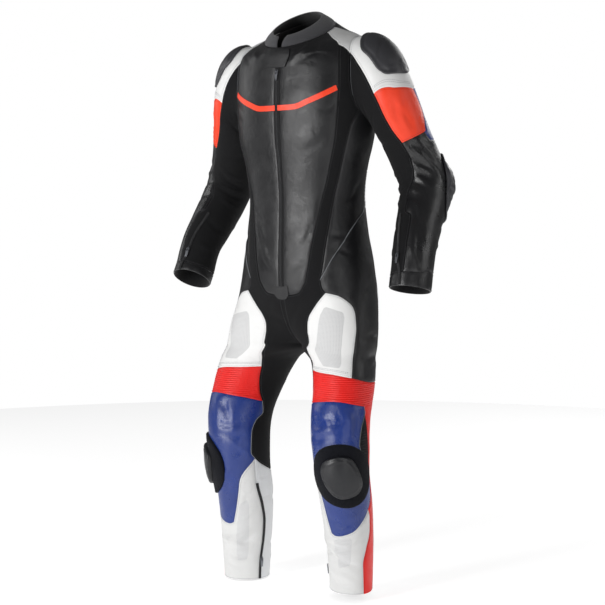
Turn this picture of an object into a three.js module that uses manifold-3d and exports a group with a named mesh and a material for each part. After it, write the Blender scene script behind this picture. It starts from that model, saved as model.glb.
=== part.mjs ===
// Motorcycle race suit as it is worn: an empty shell of leather and stretch panels, millimetres, +Z up.
// The origin is the middle of the neck, where the wearer's shoulders carry the suit. +X is the
// wearer's left, -Y is the front. The garment is open at the neck, the cuffs and the hems.
import * as THREE from 'three';
import { mergeVertices } from 'three/addons/utils/BufferGeometryUtils.js';
import Module from 'manifold-3d';

const wasm = await Module();
wasm.setup();

// Driving sizes
const clothThickness = 2.0;      // leather and its lining
const seamInset = 0.2;           // each panel stops this far from the seam line
const crotchStation = 810;       // girth station where the two legs part
const riseTopStation = 600;      // girth station where the legs begin to show in the hips
const hemStation = 1396;
const cuffStation = 608;
const facetAround = 25;          // facet length round the limbs
const bendSpan = 30;             // the elbow bends over this length each way
const alongScale = 0.56;         // facets are longer along the limbs than round them

// Girth rows of the trunk. station: distance down the suit from the neckline
const trunkColumns = ['station', 'z', 'half', 'front', 'back', 'centreY', 'tiltFront', 'tiltBack', 'power'];
const trunkRows = [
  [0, -3, 88, 86, 86, -29, 0.50, 0.50, 2.0],
  [30, -9, 112, 97, 92, -21, 0.50, 0.30, 2.0],
  [70, -15, 142, 108, 102, -12, 0.52, 0.02, 2.1],
  [110, -32, 168, 116, 108, -5, 0.45, -0.12, 2.2],
  [150, -72, 182, 121, 112, -1, 0.22, -0.06, 2.3],
  [190, -120, 185, 124, 114, 0, 0.05, 0, 2.35],
  [230, -170, 186, 126, 116, 0, 0, 0, 2.4],
  [300, -250, 178, 124, 112, 0, 0, 0, 2.4],
  [380, -333, 160, 114, 104, 0, 0, 0, 2.3],
  [450, -405, 152, 110, 100, 2, 0, 0, 2.3],
  [530, -485, 160, 112, 106, 3, 0, 0, 2.3],
  [610, -565, 174, 114, 120, 3, 0, 0, 2.3],
  [690, -645, 184, 112, 126, 2, 0, 0, 2.3],
  [760, -715, 188, 108, 120, 0, 0, 0, 2.2],
  [810, -765, 190, 106, 112, 0, 0, 0, 2.2],
];

// Girth rows of one leg, the left; inner is the inseam's distance from the middle of the body and
// skew turns the oval outward
const legColumns = ['station', 'z', 'inner', 'centreY', 'half', 'front', 'back', 'power', 'skew'];
const legRows = [
  [600, -555, 0, 2, 88, 100, 108, 2.1, 0],
  [700, -655, 0, 2, 94, 100, 108, 2.1, 0.05],
  [760, -715, 0, 2, 97, 98, 104, 2.1, 0.10],
  [810, -765, 0, 0, 98, 94, 98, 2.1, 0.14],
  [850, -805, 34, -8, 81, 90, 92, 2.1, 0.17],
  [910, -865, 52, -28, 78, 84, 86, 2.1, 0.17],
  [980, -935, 68, -58, 74, 79, 78, 2.1, 0.13],
  [1040, -995, 79, -70, 71, 76, 73, 2.1, 0.10],
  [1100, -1055, 86, -68, 67, 73, 70, 2.1, 0.10],
  [1180, -1135, 91, -54, 64, 67, 70, 2.1, 0.10],
  [1260, -1216, 97, -46, 60, 61, 66, 2.1, 0.10],
  [1330, -1286, 104, -42, 56, 56, 60, 2.1, 0.12],
  [1396, -1351, 107, -40, 54, 54, 55, 2.0, 0.12],
];

// The right leg stands further out, is a little wider at the thigh and longer
const rightLegColumns = ['station', 'inner', 'wide', 'drop'];
const rightLegRows = [
  [600, 0, 0, 0],
  [700, 0, 6, 0],
  [760, 0, 11, 0],
  [810, 0, 12, 0],
  [850, 18, 8, 1],
  [910, 28, 2, 3],
  [980, 22, 0, 5],
  [1040, 9, 0, 7],
  [1100, 3, 0, 9],
  [1180, 0, 0, 11],
  [1396, 0, 0, 16],
];

// Girth rows of the left sleeve: centre, half size outward, half size forward
const armColumns = ['station', 'x', 'y', 'z', 'outward', 'forward'];
const armRows = [
  [0, 150, 2, -84, 72, 76],
  [60, 194, 4, -102, 72, 75],
  [120, 222, 14, -155, 66, 70],
  [200, 246, 42, -235, 61, 64],
  [270, 268, 67, -305, 59, 60],
  [330, 286, 80, -362, 61, 60],
  [380, 296, 66, -411, 59, 59],
  [450, 304, 29, -475, 54, 56],
  [510, 313, -4, -528, 50, 53],
  [560, 318, -22, -576, 49, 52],
  [608, 320, -34, -621, 49, 52],
];
const rightArmColumns = ['station', 'x', 'y', 'z'];
const rightArmRows = [
  [0, 0, 0, 0],
  [120, 0, 0, 0],
  [200, 4, -4, 2],
  [330, 14, -10, 2],
  [450, 16, -16, 4],
  [560, 10, -17, 5],
  [608, 6, -25, 12],
];

// The armhole is a loop on the trunk: middle station, reach up and down, reach to front and back
const armhole = { station: 180, up: 90, down: 84, front: 0.145, back: 0.17 };

// The top edge of the stand collar
const collarTop = { centreY: -40, halfX: 58, halfY: 61, z: 20.3, slope: 0.6, bulge: 4 };

function table(columns, rows) {
  const out = {};
  columns.forEach((name, k) => { out[name] = rows.map((row) => row[k]); });
  return out;
}

const trunk = table(trunkColumns, trunkRows);
const leg = table(legColumns, legRows);
const rightLeg = table(rightLegColumns, rightLegRows);
const arm = table(armColumns, armRows);
const rightArm = table(rightArmColumns, rightArmRows);

// Monotone cubic through a column of values
function curve(xs, ys, x) {
  const last = xs.length - 1;
  const at = Math.min(Math.max(x, xs[0]), xs[last]);
  let i = 0;
  while (i < last - 1 && xs[i + 1] < at) i += 1;
  const slope = (k) => (ys[k + 1] - ys[k]) / (xs[k + 1] - xs[k]);
  const tangent = (k) => {
    if (k === 0) return slope(0);
    if (k === last) return slope(last - 1);
    const a = slope(k - 1);
    const b = slope(k);
    return a * b > 0 ? (2 * a * b) / (a + b) : 0;
  };
  const h = xs[i + 1] - xs[i];
  const t = (at - xs[i]) / h;
  const t2 = t * t;
  const t3 = t2 * t;
  return (2 * t3 - 3 * t2 + 1) * ys[i] + (t3 - 2 * t2 + t) * h * tangent(i)
    + (3 * t2 - 2 * t3) * ys[i + 1] + (t3 - t2) * h * tangent(i + 1);
}

function ring(half, front, back, angle, power) {
  const c = Math.cos(angle);
  const s = Math.sin(angle);
  const e = 2 / power;
  const y = -Math.sign(c) * Math.abs(c) ** e;
  return [half * Math.sign(s) * Math.abs(s) ** e, y * (c > 0 ? front : back)];
}

// Point of the trunk and legs. u goes 0 to 1 from the front middle round the side to the back middle,
// and on a leg from the inseam round the front, the outer side and the back to the inseam again
function bodyPoint(u, station, side = 1) {
  const get = (rows, name) => curve(rows.station, rows[name], station);
  let [x, y] = ring(get(trunk, 'half'), get(trunk, 'front'), get(trunk, 'back'), Math.PI * u,
    get(trunk, 'power'));
  const mean = (get(trunk, 'tiltBack') + get(trunk, 'tiltFront')) / 2;
  const turn = (get(trunk, 'tiltBack') - get(trunk, 'tiltFront')) / 2;
  const z = get(trunk, 'z') + mean * y + turn * (Math.sqrt(y * y + 900) - 30);
  const onTrunk = new THREE.Vector3(x, y + get(trunk, 'centreY'), z);
  const right = side < 0 ? 1 : 0;
  const half = get(leg, 'half') + right * get(rightLeg, 'wide');
  [x, y] = ring(half, get(leg, 'front'), get(leg, 'back'), 2 * Math.PI * u - Math.PI / 2, get(leg, 'power'));
  x -= y * get(leg, 'skew') * Math.min(Math.max((station - 560) / 250, 0), 1);
  x += get(leg, 'inner') + right * get(rightLeg, 'inner') + half;
  const onLeg = new THREE.Vector3(x, y + get(leg, 'centreY'), get(leg, 'z') - right * get(rightLeg, 'drop'));
  const t = Math.min(Math.max((station - riseTopStation) / (crotchStation - riseTopStation), 0), 1);
  const soft = t * t * (3 - 2 * t);
  const rise = 1 - Math.sqrt(1 - t ** 2.6);
  const middle = Math.cos(Math.PI * u) ** 4;
  const weight = station >= crotchStation ? 1 : soft * (1 - middle) + rise * middle;
  const point = onTrunk.lerp(onLeg, weight);
  point.x *= side;
  return point;
}

function armholeAt(u) {
  const c = Math.cos(2 * Math.PI * u);
  const s = Math.sin(2 * Math.PI * u);
  return [
    0.5 - (s > 0 ? armhole.front : armhole.back) * Math.sign(s) * Math.abs(s) ** 0.9,
    armhole.station - (c > 0 ? armhole.up : armhole.down) * Math.sign(c) * Math.abs(c) ** 0.9,
  ];
}

// Point of a sleeve. u is 0 on the outer side, 0.25 at the front, 0.5 under the arm, 0.75 at the back.
// The cap runs from the armhole loop to the tube, a short way over the shoulder and a long way below
function armPoint(u, station, side = 1) {
  const right = side < 0 ? 1 : 0;
  const centre = (at) => new THREE.Vector3(...['x', 'y', 'z'].map(
    (name) => curve(arm.station, arm[name], at) + right * curve(rightArm.station, rightArm[name], at)));
  const capLength = 110 + 95 * Math.sin(Math.PI * u) ** 2;
  const at = Math.max(station, capLength);
  const along = centre(Math.min(at + bendSpan, cuffStation)).sub(centre(at - bendSpan)).normalize();
  const forward = new THREE.Vector3(0, -1, 0);
  forward.addScaledVector(along, -forward.dot(along)).normalize();
  const outward = new THREE.Vector3().crossVectors(forward, along);
  const angle = 2 * Math.PI * u;
  const point = centre(at)
    .addScaledVector(outward, curve(arm.station, arm.outward, at) * Math.cos(angle))
    .addScaledVector(forward, curve(arm.station, arm.forward, at) * Math.sin(angle));
  if (station < capLength) {
    const t = station / capLength;
    const [where, down] = armholeAt(u);
    const edge = bodyPoint(where, down);
    const pull = 0.5 + 0.3 * Math.cos(Math.PI * u) ** 2;
    const knee = point.clone().addScaledVector(along, -pull * point.distanceTo(edge));
    point.multiplyScalar(t * t).addScaledVector(knee, 2 * t * (1 - t)).addScaledVector(edge, (1 - t) ** 2);
  }
  point.x *= side;
  return point;
}

// Point of the stand collar, v 0 at the neckline and 1 at the top edge
function collarPoint(u, v, side = 1) {
  const angle = Math.PI * u;
  const low = bodyPoint(u, 0);
  low.z += 0.45;
  const y = collarTop.centreY - collarTop.halfY * Math.cos(angle);
  const high = new THREE.Vector3(collarTop.halfX * Math.sin(angle), y,
    collarTop.z + collarTop.slope * (y - collarTop.centreY));
  const point = low.lerp(high, v);
  const out = collarTop.bulge * 4 * v * (1 - v);
  point.x += out * Math.sin(angle);
  point.y -= out * Math.cos(angle);
  point.x *= side;
  return point;
}

const charts = {
  body: { point: bodyPoint, around: 440, along: alongScale, turn: -1, low: 0, high: hemStation },
  arm: { point: armPoint, around: 350, along: alongScale, turn: 1, low: 0, high: cuffStation },
  collar: { point: collarPoint, around: 290, along: 34, turn: 1, low: 0, high: 1 },
};

// Outward normal of a chart
function normalAt(kind, u, v, side) {
  const chart = charts[kind];
  const crotch = kind === 'body' && Math.abs(v - crotchStation) < 0.01 && Math.min(Math.abs(u), Math.abs(u - 1)) < 1e-6;
  if (crotch) return new THREE.Vector3(0, 0, -1);
  const dv = kind === 'collar' ? 0.02 : 1.5;
  const du = 0.002;
  const centred = kind === 'body' && v < crotchStation;
  const u0 = centred ? Math.max(u - du, 0) : u - du;
  const u1 = centred ? Math.min(u + du, 1) : u + du;
  const across = chart.point(u1, v, side).sub(chart.point(u0, v, side));
  const down = chart.point(u, Math.min(v + dv, chart.high), side)
    .sub(chart.point(u, Math.max(v - dv, chart.low), side));
  return across.cross(down).multiplyScalar(chart.turn * side).normalize();
}

// Seam lines on the body chart, each a list of [u, station] from one junction to the next
const bodySeams = {
  neckFront: [[0.025, 0], [0.466, 0]],
  neckSide: [[0.466, 0], [0.60, 0]],
  neckBack: [[0.60, 0], [1, 0]],
  zipEdge: [[0.025, 0], [0.0195, 30], [0.012, 70], [0.0095, 110], [0.008, 150], [0.008, 686]],
  zipMiddle: [[0, 0], [0, 30], [0, 70], [0, 110], [0, 150], [0, 686]],
  zipTopEnd: [[0, 0], [0.025, 0]],
  zipLowEnd: [[0, 686], [0.008, 686]],
  shoulderFront: [[0.466, 0], [0.388, 42], [0.341, 92]],
  shoulderStrip: [[0.341, 92], [0.371, 133.357]],
  shoulderBack: [[0.60, 0], [0.625, 60], [0.651, 133.357]],
  frontEdge: [[0.341, 92], [0.294, 147], [0.288, 212], [0.281, 255], [0.281, 297], [0.259, 395],
    [0.206, 477], [0.138, 587], [0.109, 652]],
  frontHem: [[0.109, 652], [0.069, 680], [0.008, 686]],
  stripEdge: [[0.425, 254.588], [0.375, 290], [0.338, 395], [0.288, 477], [0.219, 587], [0.192, 645]],
  stripFoot: [[0.192, 645], [0.206, 665], [0.230, 677]],
  piping: [[0.192, 645], [0.253, 599], [0.325, 564], [0.422, 522], [0.52, 489], [0.62, 458]],
  sideBack: [[0.605, 249.413], [0.62, 300], [0.62, 385]],
  waistSide: [[0.62, 385], [0.62, 458]],
  waistHip: [[0.62, 458], [0.62, 470]],
  backMiddle: [[1, 0], [1, 385]],
  waistTop: [[0.62, 385], [1, 385]],
  waistMiddle: [[1, 385], [1, 470]],
  waistLow: [[0.62, 470], [1, 470]],
  seatMiddle: [[1, 470], [1, 600], [1, 700], [1, 760], [1, 790], [1, 810]],
  seatUnder: [[1, 810], [0.93, 812], [0.86, 815]],
  seatUnderInner: [[0, 810], [-0.07, 812], [-0.14, 815]],
  innerBack: [[0.86, 815], [0.86, 1128]],
  innerBackInner: [[-0.14, 815], [-0.14, 1128]],
  hipBack: [[0.62, 470], [0.62, 896]],
  thighIn: [[0.230, 677], [0.195, 697], [0.165, 718], [0.142, 736], [0.136, 752], [0.138, 772],
    [0.148, 800], [0.138, 840], [0.108, 866]],
  thighOut: [[0.230, 677], [0.300, 683], [0.359, 697], [0.391, 711], [0.404, 730], [0.406, 755],
    [0.391, 804], [0.369, 877]],
  thighFoot: [[0.108, 866], [0.259, 869], [0.369, 877]],
  bandTop: [[0.369, 877], [0.509, 892], [0.62, 896]],
  bandIn: [[0.108, 866], [0.088, 899], [0.062, 929], [0.031, 951]],
  bandFoot: [[0.031, 951], [0.150, 938], [0.288, 931], [0.462, 944]],
  kneeSideFront: [[0.462, 944], [0.478, 961], [0.458, 996], [0.452, 1031], [0.478, 1059], [0.548, 1087]],
  stripeFrontTop: [[0.462, 944], [0.505, 985], [0.538, 1035], [0.548, 1087]],
  stripeKnee: [[0.548, 1087], [0.556, 1125], [0.540, 1165], [0.500, 1192]],
  stripeShin: [[0.500, 1192], [0.513, 1209], [0.509, 1246], [0.466, 1286], [0.431, 1324], [0.434, 1396]],
  stripeBackTop: [[0.62, 896], [0.62, 1128]],
  stripeBackLow: [[0.62, 1128], [0.60, 1200], [0.585, 1396]],
  stripeHem: [[0.434, 1396], [0.585, 1396]],
  kneeIn: [[0.031, 951], [0.010, 978], [0.044, 996], [0.064, 1024], [0.069, 1072], [0.046, 1088]],
  kneeShin: [[0.046, 1088], [0.147, 1139], [0.169, 1171], [0.190, 1208], [0.218, 1248]],
  kneeFoot: [[0.218, 1248], [0.25, 1253], [0.36, 1242], [0.44, 1218], [0.500, 1192]],
  crotchMiddle: [[0, 686], [0, 740], [0, 780], [0, 800], [0, 810]],
  calfTopInner: [[0.046, 1088], [0.003, 1104], [-0.08, 1121], [-0.14, 1128]],
  calfTopIn: [[1.046, 1088], [1.003, 1104], [0.92, 1121], [0.86, 1128]],
  calfTopOut: [[0.86, 1128], [0.62, 1128]],
  calfZip: [[0.046, 1088], [0.050, 1156], [0.025, 1204], [0.009, 1249], [0.013, 1294], [0.031, 1349],
    [0.038, 1396]],
  calfZipBack: [[1.046, 1088], [1.050, 1156], [1.025, 1204], [1.009, 1249], [1.013, 1294], [1.031, 1349],
    [1.038, 1396]],
  calfHem: [[0.585, 1396], [1.038, 1396]],
  shinHem: [[0.038, 1396], [0.434, 1396]],
};

// Seam lines on the sleeve chart
const armSeams = {
  capFront: [[0.17, 0], [0.200, 29], [0.219, 70], [0.232, 110]],
  capBack: [[-0.17, 0], [-0.22, 50], [-0.27, 128]],
  capBackFar: [[0.83, 0], [0.78, 50], [0.73, 128]],
  capFootFront: [[0.232, 110], [0.160, 118], [0.075, 126], [-0.03, 137]],
  capFootBack: [[-0.03, 137], [-0.16, 134], [-0.27, 128]],
  upperFront: [[0.232, 110], [0.234, 152], [0.225, 192], [0.203, 229]],
  upperBack: [[-0.03, 137], [-0.01, 180], [0.03, 229]],
  upperFoot: [[0.203, 229], [0.113, 229], [0.03, 229]],
  backArmFoot: [[0.03, 229], [0.005, 250], [-0.10, 256], [-0.27, 256]],
  backArmBack: [[-0.27, 128], [-0.275, 190], [-0.27, 256]],
  backArmBackFar: [[0.73, 128], [0.725, 190], [0.73, 256]],
  forearmFront: [[0.203, 229], [0.194, 267], [0.213, 311], [0.241, 357], [0.272, 395], [0.266, 437],
    [0.213, 453], [0.206, 489], [0.213, 530], [0.222, 575]],
  forearmBack: [[-0.27, 256], [-0.26, 400], [-0.25, 570]],
  forearmBackFar: [[0.73, 256], [0.74, 400], [0.75, 570]],
  forearmFoot: [[0.222, 575], [0.088, 573], [0, 563], [-0.12, 563], [-0.25, 570]],
  sleeveFootFront: [[0.222, 575], [0.25, 577.5]],
  sleeveFootUnder: [[0.25, 577.5], [0.40, 581], [0.60, 578], [0.75, 570]],
};

// Outlines of the panels: one or two pieces each, a seam name with a minus sign is walked backwards.
// hole:a:b is the armhole loop from a to b
const panels = {
  front: [['body', 'neckFront shoulderFront frontEdge frontHem -zipEdge']],
  side: [['body', 'hole:0.42:0.60 sideBack waistSide -piping -stripEdge']],
  hip: [['body', 'piping waistHip hipBack -bandTop -thighOut -stripFoot']],
  thigh: [['body', 'thighOut -thighFoot -thighIn']],
  knee_band: [['body', 'thighFoot bandTop stripeBackTop stripeBackLow -stripeHem -stripeShin -stripeKnee'
    + ' -stripeFrontTop -bandFoot -bandIn']],
  knee: [['body', 'bandFoot kneeSideFront stripeKnee -kneeFoot -kneeShin -kneeIn']],
  knee_side: [['body', 'stripeFrontTop -kneeSideFront']],
  shin: [['body', 'kneeShin kneeFoot stripeShin -shinHem -calfZip']],
  calf: [['body', '-calfTopOut -calfTopIn calfZipBack -calfHem -stripeBackLow']],
  seat: [['body', 'waistLow seatMiddle seatUnder innerBack calfTopOut -stripeBackTop -hipBack']],
  shoulder: [['body', 'neckSide shoulderBack hole:0.83:1.17 -shoulderStrip -shoulderFront'],
    ['arm', 'hole:-0.17:0.17 capFront capFootFront capFootBack -capBack']],
  upper_arm: [['arm', '-capFootFront upperFront upperFoot -upperBack']],
  back_arm: [['arm', '-capFootBack upperBack backArmFoot -backArmBack']],
  sleeve_stretch: [['arm', 'hole:0.17:0.42 hole:0.42:0.60 hole:0.60:0.83 capBackFar backArmBackFar'
    + ' forearmBackFar -sleeveFootUnder -sleeveFootFront -forearmFront -upperFront -capFront']],
  forearm: [['arm', '-backArmFoot -upperFoot forearmFront forearmFoot -forearmBack']],
};

// Panels that cross the middle of the body
const middlePanels = {
  back: [['body', 'neckBack backMiddle -waistTop -sideBack hole:0.60:0.83 -shoulderBack']],
  waist_stretch: [['body', 'waistTop waistMiddle -waistLow -waistHip -waistSide']],
  front_stretch: [['body', 'shoulderStrip hole:0.17:0.42 stripEdge stripFoot thighIn bandIn kneeIn'
    + ' calfTopInner -innerBackInner -seatUnderInner -crotchMiddle zipLowEnd -frontHem -frontEdge']],
  front_zip: [['body', 'zipTopEnd zipEdge -zipLowEnd -zipMiddle']],
};

// Walk a seam and give its points, evenly spaced in facet lengths
function samples(kind, rows, spacing = facetAround) {
  const chart = charts[kind];
  const lengths = [0];
  for (let k = 1; k < rows.length; k += 1) {
    const du = (rows[k][0] - rows[k - 1][0]) * chart.around;
    const dv = (rows[k][1] - rows[k - 1][1]) * chart.along;
    lengths.push(lengths[k - 1] + Math.hypot(du, dv));
  }
  const total = lengths[lengths.length - 1];
  const count = Math.max(1, Math.round(total / spacing));
  const out = [];
  for (let k = 0; k <= count; k += 1) {
    const at = (total * k) / count;
    out.push([curve(lengths, rows.map((r) => r[0]), at), curve(lengths, rows.map((r) => r[1]), at)]);
  }
  return out;
}

// A point of the armhole loop belongs to the trunk and to the sleeve, so it has the mean normal of both
function holePoint(kind, u) {
  const [where, down] = armholeAt(u);
  const point = bodyPoint(where, down);
  const normal = normalAt('body', where, down, 1).add(normalAt('arm', u, 0, 1)).normalize();
  return { at: kind === 'arm' ? [u, 0] : [where, down], point, normal };
}

function holeSamples(kind, from, to) {
  const count = Math.max(1, Math.round((Math.abs(to - from) * 400) / facetAround));
  const out = [];
  for (let k = 0; k <= count; k += 1) out.push(holePoint(kind, from + ((to - from) * k) / count));
  return out;
}

function holeJunction(kind, at) {
  if (kind === 'arm' && Math.abs(at[1]) < 1e-6) return holePoint(kind, at[0]);
  if (kind !== 'body') return null;
  const near = [0.17, 0.42, 0.60, 0.83].find((u) => {
    const [where, down] = armholeAt(u);
    return Math.abs(where - at[0]) < 0.002 && Math.abs(down - at[1]) < 0.6;
  });
  return near === undefined ? null : holePoint(kind, near);
}

function outline(kind, text, spacing) {
  const seams = kind === 'arm' ? armSeams : bodySeams;
  const out = [];
  for (const word of text.split(' ')) {
    let part;
    if (word.startsWith('hole:')) {
      const [, from, to] = word.split(':').map(Number);
      part = holeSamples(kind, from, to);
    } else {
      const name = word.replace('-', '');
      part = samples(kind, seams[name], spacing).map((at) => holeJunction(kind, at) || { at });
      if (word.startsWith('-')) part.reverse();
    }
    out.push(...part.slice(0, -1));
  }
  return out;
}

// Constrained Delaunay triangles of an outline with inner points
function triangulate(kind, boundary, spacing = facetAround) {
  const chart = charts[kind];
  const plane = boundary.map((b) => new THREE.Vector2(b.at[0] * chart.around, b.at[1] * chart.along));
  if (THREE.ShapeUtils.area(plane) < 0) {
    plane.reverse();
    boundary.reverse();
  }
  const triangles = THREE.ShapeUtils.triangulateShape(plane, []);
  const points = [...boundary];
  const flat = [...plane];
  const edge = plane.map((p, k) => [p, plane[(k + 1) % plane.length]]);
  const cross = (a, b, c) => (b.x - a.x) * (c.y - a.y) - (b.y - a.y) * (c.x - a.x);
  const box = new THREE.Box2().setFromPoints(plane);
  const rise = spacing * 0.866;
  let odd = false;
  for (let y = box.min.y + rise / 2; y < box.max.y; y += rise) {
    odd = !odd;
    for (let x = box.min.x + (odd ? 0 : spacing / 2); x < box.max.x; x += spacing) {
      const p = new THREE.Vector2(x, y);
      const near = edge.some(([a, b]) => {
        const ab = b.clone().sub(a);
        const t = Math.min(Math.max(p.clone().sub(a).dot(ab) / ab.lengthSq(), 0), 1);
        return p.distanceTo(a.clone().addScaledVector(ab, t)) < spacing * 0.58;
      });
      if (near) continue;
      const host = triangles.findIndex(([a, b, c]) => cross(flat[a], flat[b], p) > 0
        && cross(flat[b], flat[c], p) > 0 && cross(flat[c], flat[a], p) > 0);
      if (host < 0) continue;
      const [a, b, c] = triangles[host];
      const n = flat.length;
      flat.push(p);
      points.push({ at: [x / chart.around, y / chart.along] });
      triangles[host] = [a, b, n];
      triangles.push([b, c, n], [c, a, n]);
    }
  }
  const outside = new Set(plane.map((p, k) => {
    const l = (k + 1) % plane.length;
    return Math.min(k, l) + ':' + Math.max(k, l);
  }));
  const inCircle = (a, b, c, d) => {
    const [ax, ay, bx, by, cx, cy] = [a.x - d.x, a.y - d.y, b.x - d.x, b.y - d.y, c.x - d.x, c.y - d.y];
    return (ax * ax + ay * ay) * (bx * cy - cx * by) - (bx * bx + by * by) * (ax * cy - cx * ay)
      + (cx * cx + cy * cy) * (ax * by - bx * ay) > 1e-7;
  };
  for (let pass = 0; pass < 200; pass += 1) {
    const owner = new Map();
    triangles.forEach((t, k) => t.forEach((a, e) => owner.set(a + ':' + t[(e + 1) % 3], k)));
    const touched = new Set();
    let flips = 0;
    for (let k = 0; k < triangles.length; k += 1) {
      for (let e = 0; e < 3; e += 1) {
        if (touched.has(k)) break;
        const [a, b, c] = [0, 1, 2].map((j) => triangles[k][(e + j) % 3]);
        const other = owner.get(b + ':' + a);
        if (other === undefined || touched.has(other)) continue;
        if (outside.has(Math.min(a, b) + ':' + Math.max(a, b))) continue;
        const d = triangles[other].find((v) => v !== a && v !== b);
        const convex = cross(flat[a], flat[d], flat[c]) > 1e-9 && cross(flat[d], flat[b], flat[c]) > 1e-9;
        if (!convex || !inCircle(flat[a], flat[b], flat[c], flat[d])) continue;
        triangles[k] = [a, d, c];
        triangles[other] = [d, b, c];
        touched.add(k);
        touched.add(other);
        flips += 1;
      }
    }
    if (!flips) break;
  }
  return { points, triangles };
}

// A sheet is a list of vertices with normals and outward triangles; pieces are joined where they touch
function sheetOf(pieces, spacing) {
  const sheet = { points: [], normals: [], triangles: [], seen: new Map() };
  for (const { kind, text, side, rows } of pieces) {
    const boundary = rows ? rows.map((at) => ({ at })) : outline(kind, text, spacing);
    const { points, triangles } = triangulate(kind, boundary, spacing);
    const index = points.map(({ at, point, normal }) => {
      const place = point ? point.clone() : charts[kind].point(at[0], at[1], side);
      const out = normal ? normal.clone() : normalAt(kind, at[0], at[1], side);
      if (point && side < 0) {
        place.x *= -1;
        out.x *= -1;
      }
      if (kind !== 'arm' && Math.abs(place.x) < 1e-5) out.setX(0).normalize();
      const key = place.toArray().map((v) => Math.round(v * 1e3)).join();
      if (sheet.seen.has(key)) {
        const k = sheet.seen.get(key);
        sheet.normals[k].add(out);
        return k;
      }
      sheet.seen.set(key, sheet.points.length);
      sheet.points.push(place);
      sheet.normals.push(out);
      return sheet.points.length - 1;
    });
    const flip = charts[kind].turn * side < 0;
    for (const [a, b, c] of triangles) {
      const t = [index[a], index[b], index[c]];
      if (new Set(t).size === 3) sheet.triangles.push(flip ? [t[0], t[2], t[1]] : t);
    }
  }
  sheet.normals.forEach((n) => n.normalize());
  return sheet;
}

// Close a sheet into a solid wall from height low to height high above the chart
function wall(sheet, low, high, inset = seamInset) {
  const used = new Map();
  for (const t of sheet.triangles) {
    t.forEach((a, e) => used.set(a + ':' + t[(e + 1) % 3], [a, t[(e + 1) % 3]]));
  }
  const border = [...used.values()].filter(([a, b]) => !used.has(b + ':' + a));
  const inward = sheet.points.map(() => []);
  for (const [a, b] of border) {
    for (const k of [a, b]) {
      const along = sheet.points[b].clone().sub(sheet.points[a]);
      inward[k].push(sheet.normals[k].clone().cross(along).normalize());
    }
  }
  const place = sheet.points.map((p, k) => {
    const out = p.clone();
    if (inward[k].length >= 2) {
      const [m, n] = inward[k];
      out.addScaledVector(m.clone().add(n), Math.min(inset / (1 + m.dot(n)), inset * 3));
    }
    return out;
  });
  const height = (value, k) => (typeof value === 'function' ? value(k) : value);
  const count = place.length;
  const positions = [];
  place.forEach((p, k) => positions.push(...p.clone().addScaledVector(sheet.normals[k], height(high, k)).toArray()));
  place.forEach((p, k) => positions.push(...p.clone().addScaledVector(sheet.normals[k], height(low, k)).toArray()));
  const index = [];
  for (const [a, b, c] of sheet.triangles) index.push(a, b, c, count + a, count + c, count + b);
  // The narrow faces are split along the same diagonal as the neighbour's, so twisted ones don't cross
  const before = (a, b) => sheet.points[a].z - sheet.points[b].z || sheet.points[a].y - sheet.points[b].y
    || Math.abs(sheet.points[a].x) - Math.abs(sheet.points[b].x);
  for (const [a, b] of border) {
    if (before(a, b) < 0) index.push(b, a, count + a, b, count + a, count + b);
    else index.push(b, a, count + b, a, count + a, count + b);
  }
  const geometry = new THREE.BufferGeometry();
  geometry.setAttribute('position', new THREE.Float32BufferAttribute(positions, 3));
  geometry.setIndex(index);
  return geometry;
}

// Joins with manifold-3d
function toSolid(geometry) {
  const bare = geometry.clone();
  bare.deleteAttribute('normal');
  bare.deleteAttribute('uv');
  const merged = mergeVertices(bare, 1e-4);
  return new wasm.Manifold(new wasm.Mesh({
    numProp: 3,
    vertProperties: new Float32Array(merged.attributes.position.array),
    triVerts: new Uint32Array(merged.index.array),
  }));
}

function toGeometry(solid) {
  const mesh = solid.getMesh();
  const geometry = new THREE.BufferGeometry();
  geometry.setAttribute('position', new THREE.BufferAttribute(mesh.vertProperties, 3));
  geometry.setIndex(new THREE.BufferAttribute(mesh.triVerts, 1));
  return geometry;
}

const colours = {
  leather: [0x2c2c2f, 0.5],
  stretch: [0x242427, 0.85],
  white: [0xefefee, 0.45],
  grey: [0xc9cbcf, 0.6],
  orange: [0xff5d3f, 0.5],
  red: [0xe2403a, 0.6],
  blue: [0x2b4a93, 0.45],
  hard: [0x3a3a3d, 0.35],
  pad: [0x1f1f21, 0.6],
  metal: [0x8c8f94, 0.35],
};

const suit = new THREE.Group();

function add(name, geometry, colour) {
  const [hex, roughness] = colours[colour];
  const material = new THREE.MeshStandardMaterial({
    color: hex, roughness, metalness: colour === 'metal' ? 0.9 : 0, flatShading: true });
  const mesh = new THREE.Mesh(geometry, material);
  mesh.name = name;
  suit.add(mesh);
  return mesh;
}

const sides = [['left', 1], ['right', -1]];
const panelColours = {
  front: 'leather', side: 'leather', hip: 'leather', thigh: 'white', knee_band: 'red', knee: 'blue',
  knee_side: 'stretch', shin: 'white', calf: 'grey', seat: 'leather', shoulder: 'white',
  upper_arm: 'orange', back_arm: 'blue', sleeve_stretch: 'stretch', forearm: 'leather',
  back: 'leather', waist_stretch: 'stretch', front_stretch: 'stretch', front_zip: 'pad',
};

for (const [label, side] of sides) {
  for (const [name, pieces] of Object.entries(panels)) {
    const sheet = sheetOf(pieces.map(([kind, text]) => ({ kind, text, side })));
    add(`${name}_${label}`, wall(sheet, -clothThickness, 0), panelColours[name]);
  }
}

for (const [name, pieces] of Object.entries(middlePanels)) {
  if (name === 'front_zip') continue;
  const both = sides.flatMap(([, side]) => pieces.map(([kind, text]) => ({ kind, text, side })));
  add(name, wall(sheetOf(both), -clothThickness, 0), panelColours[name]);
}

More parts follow.
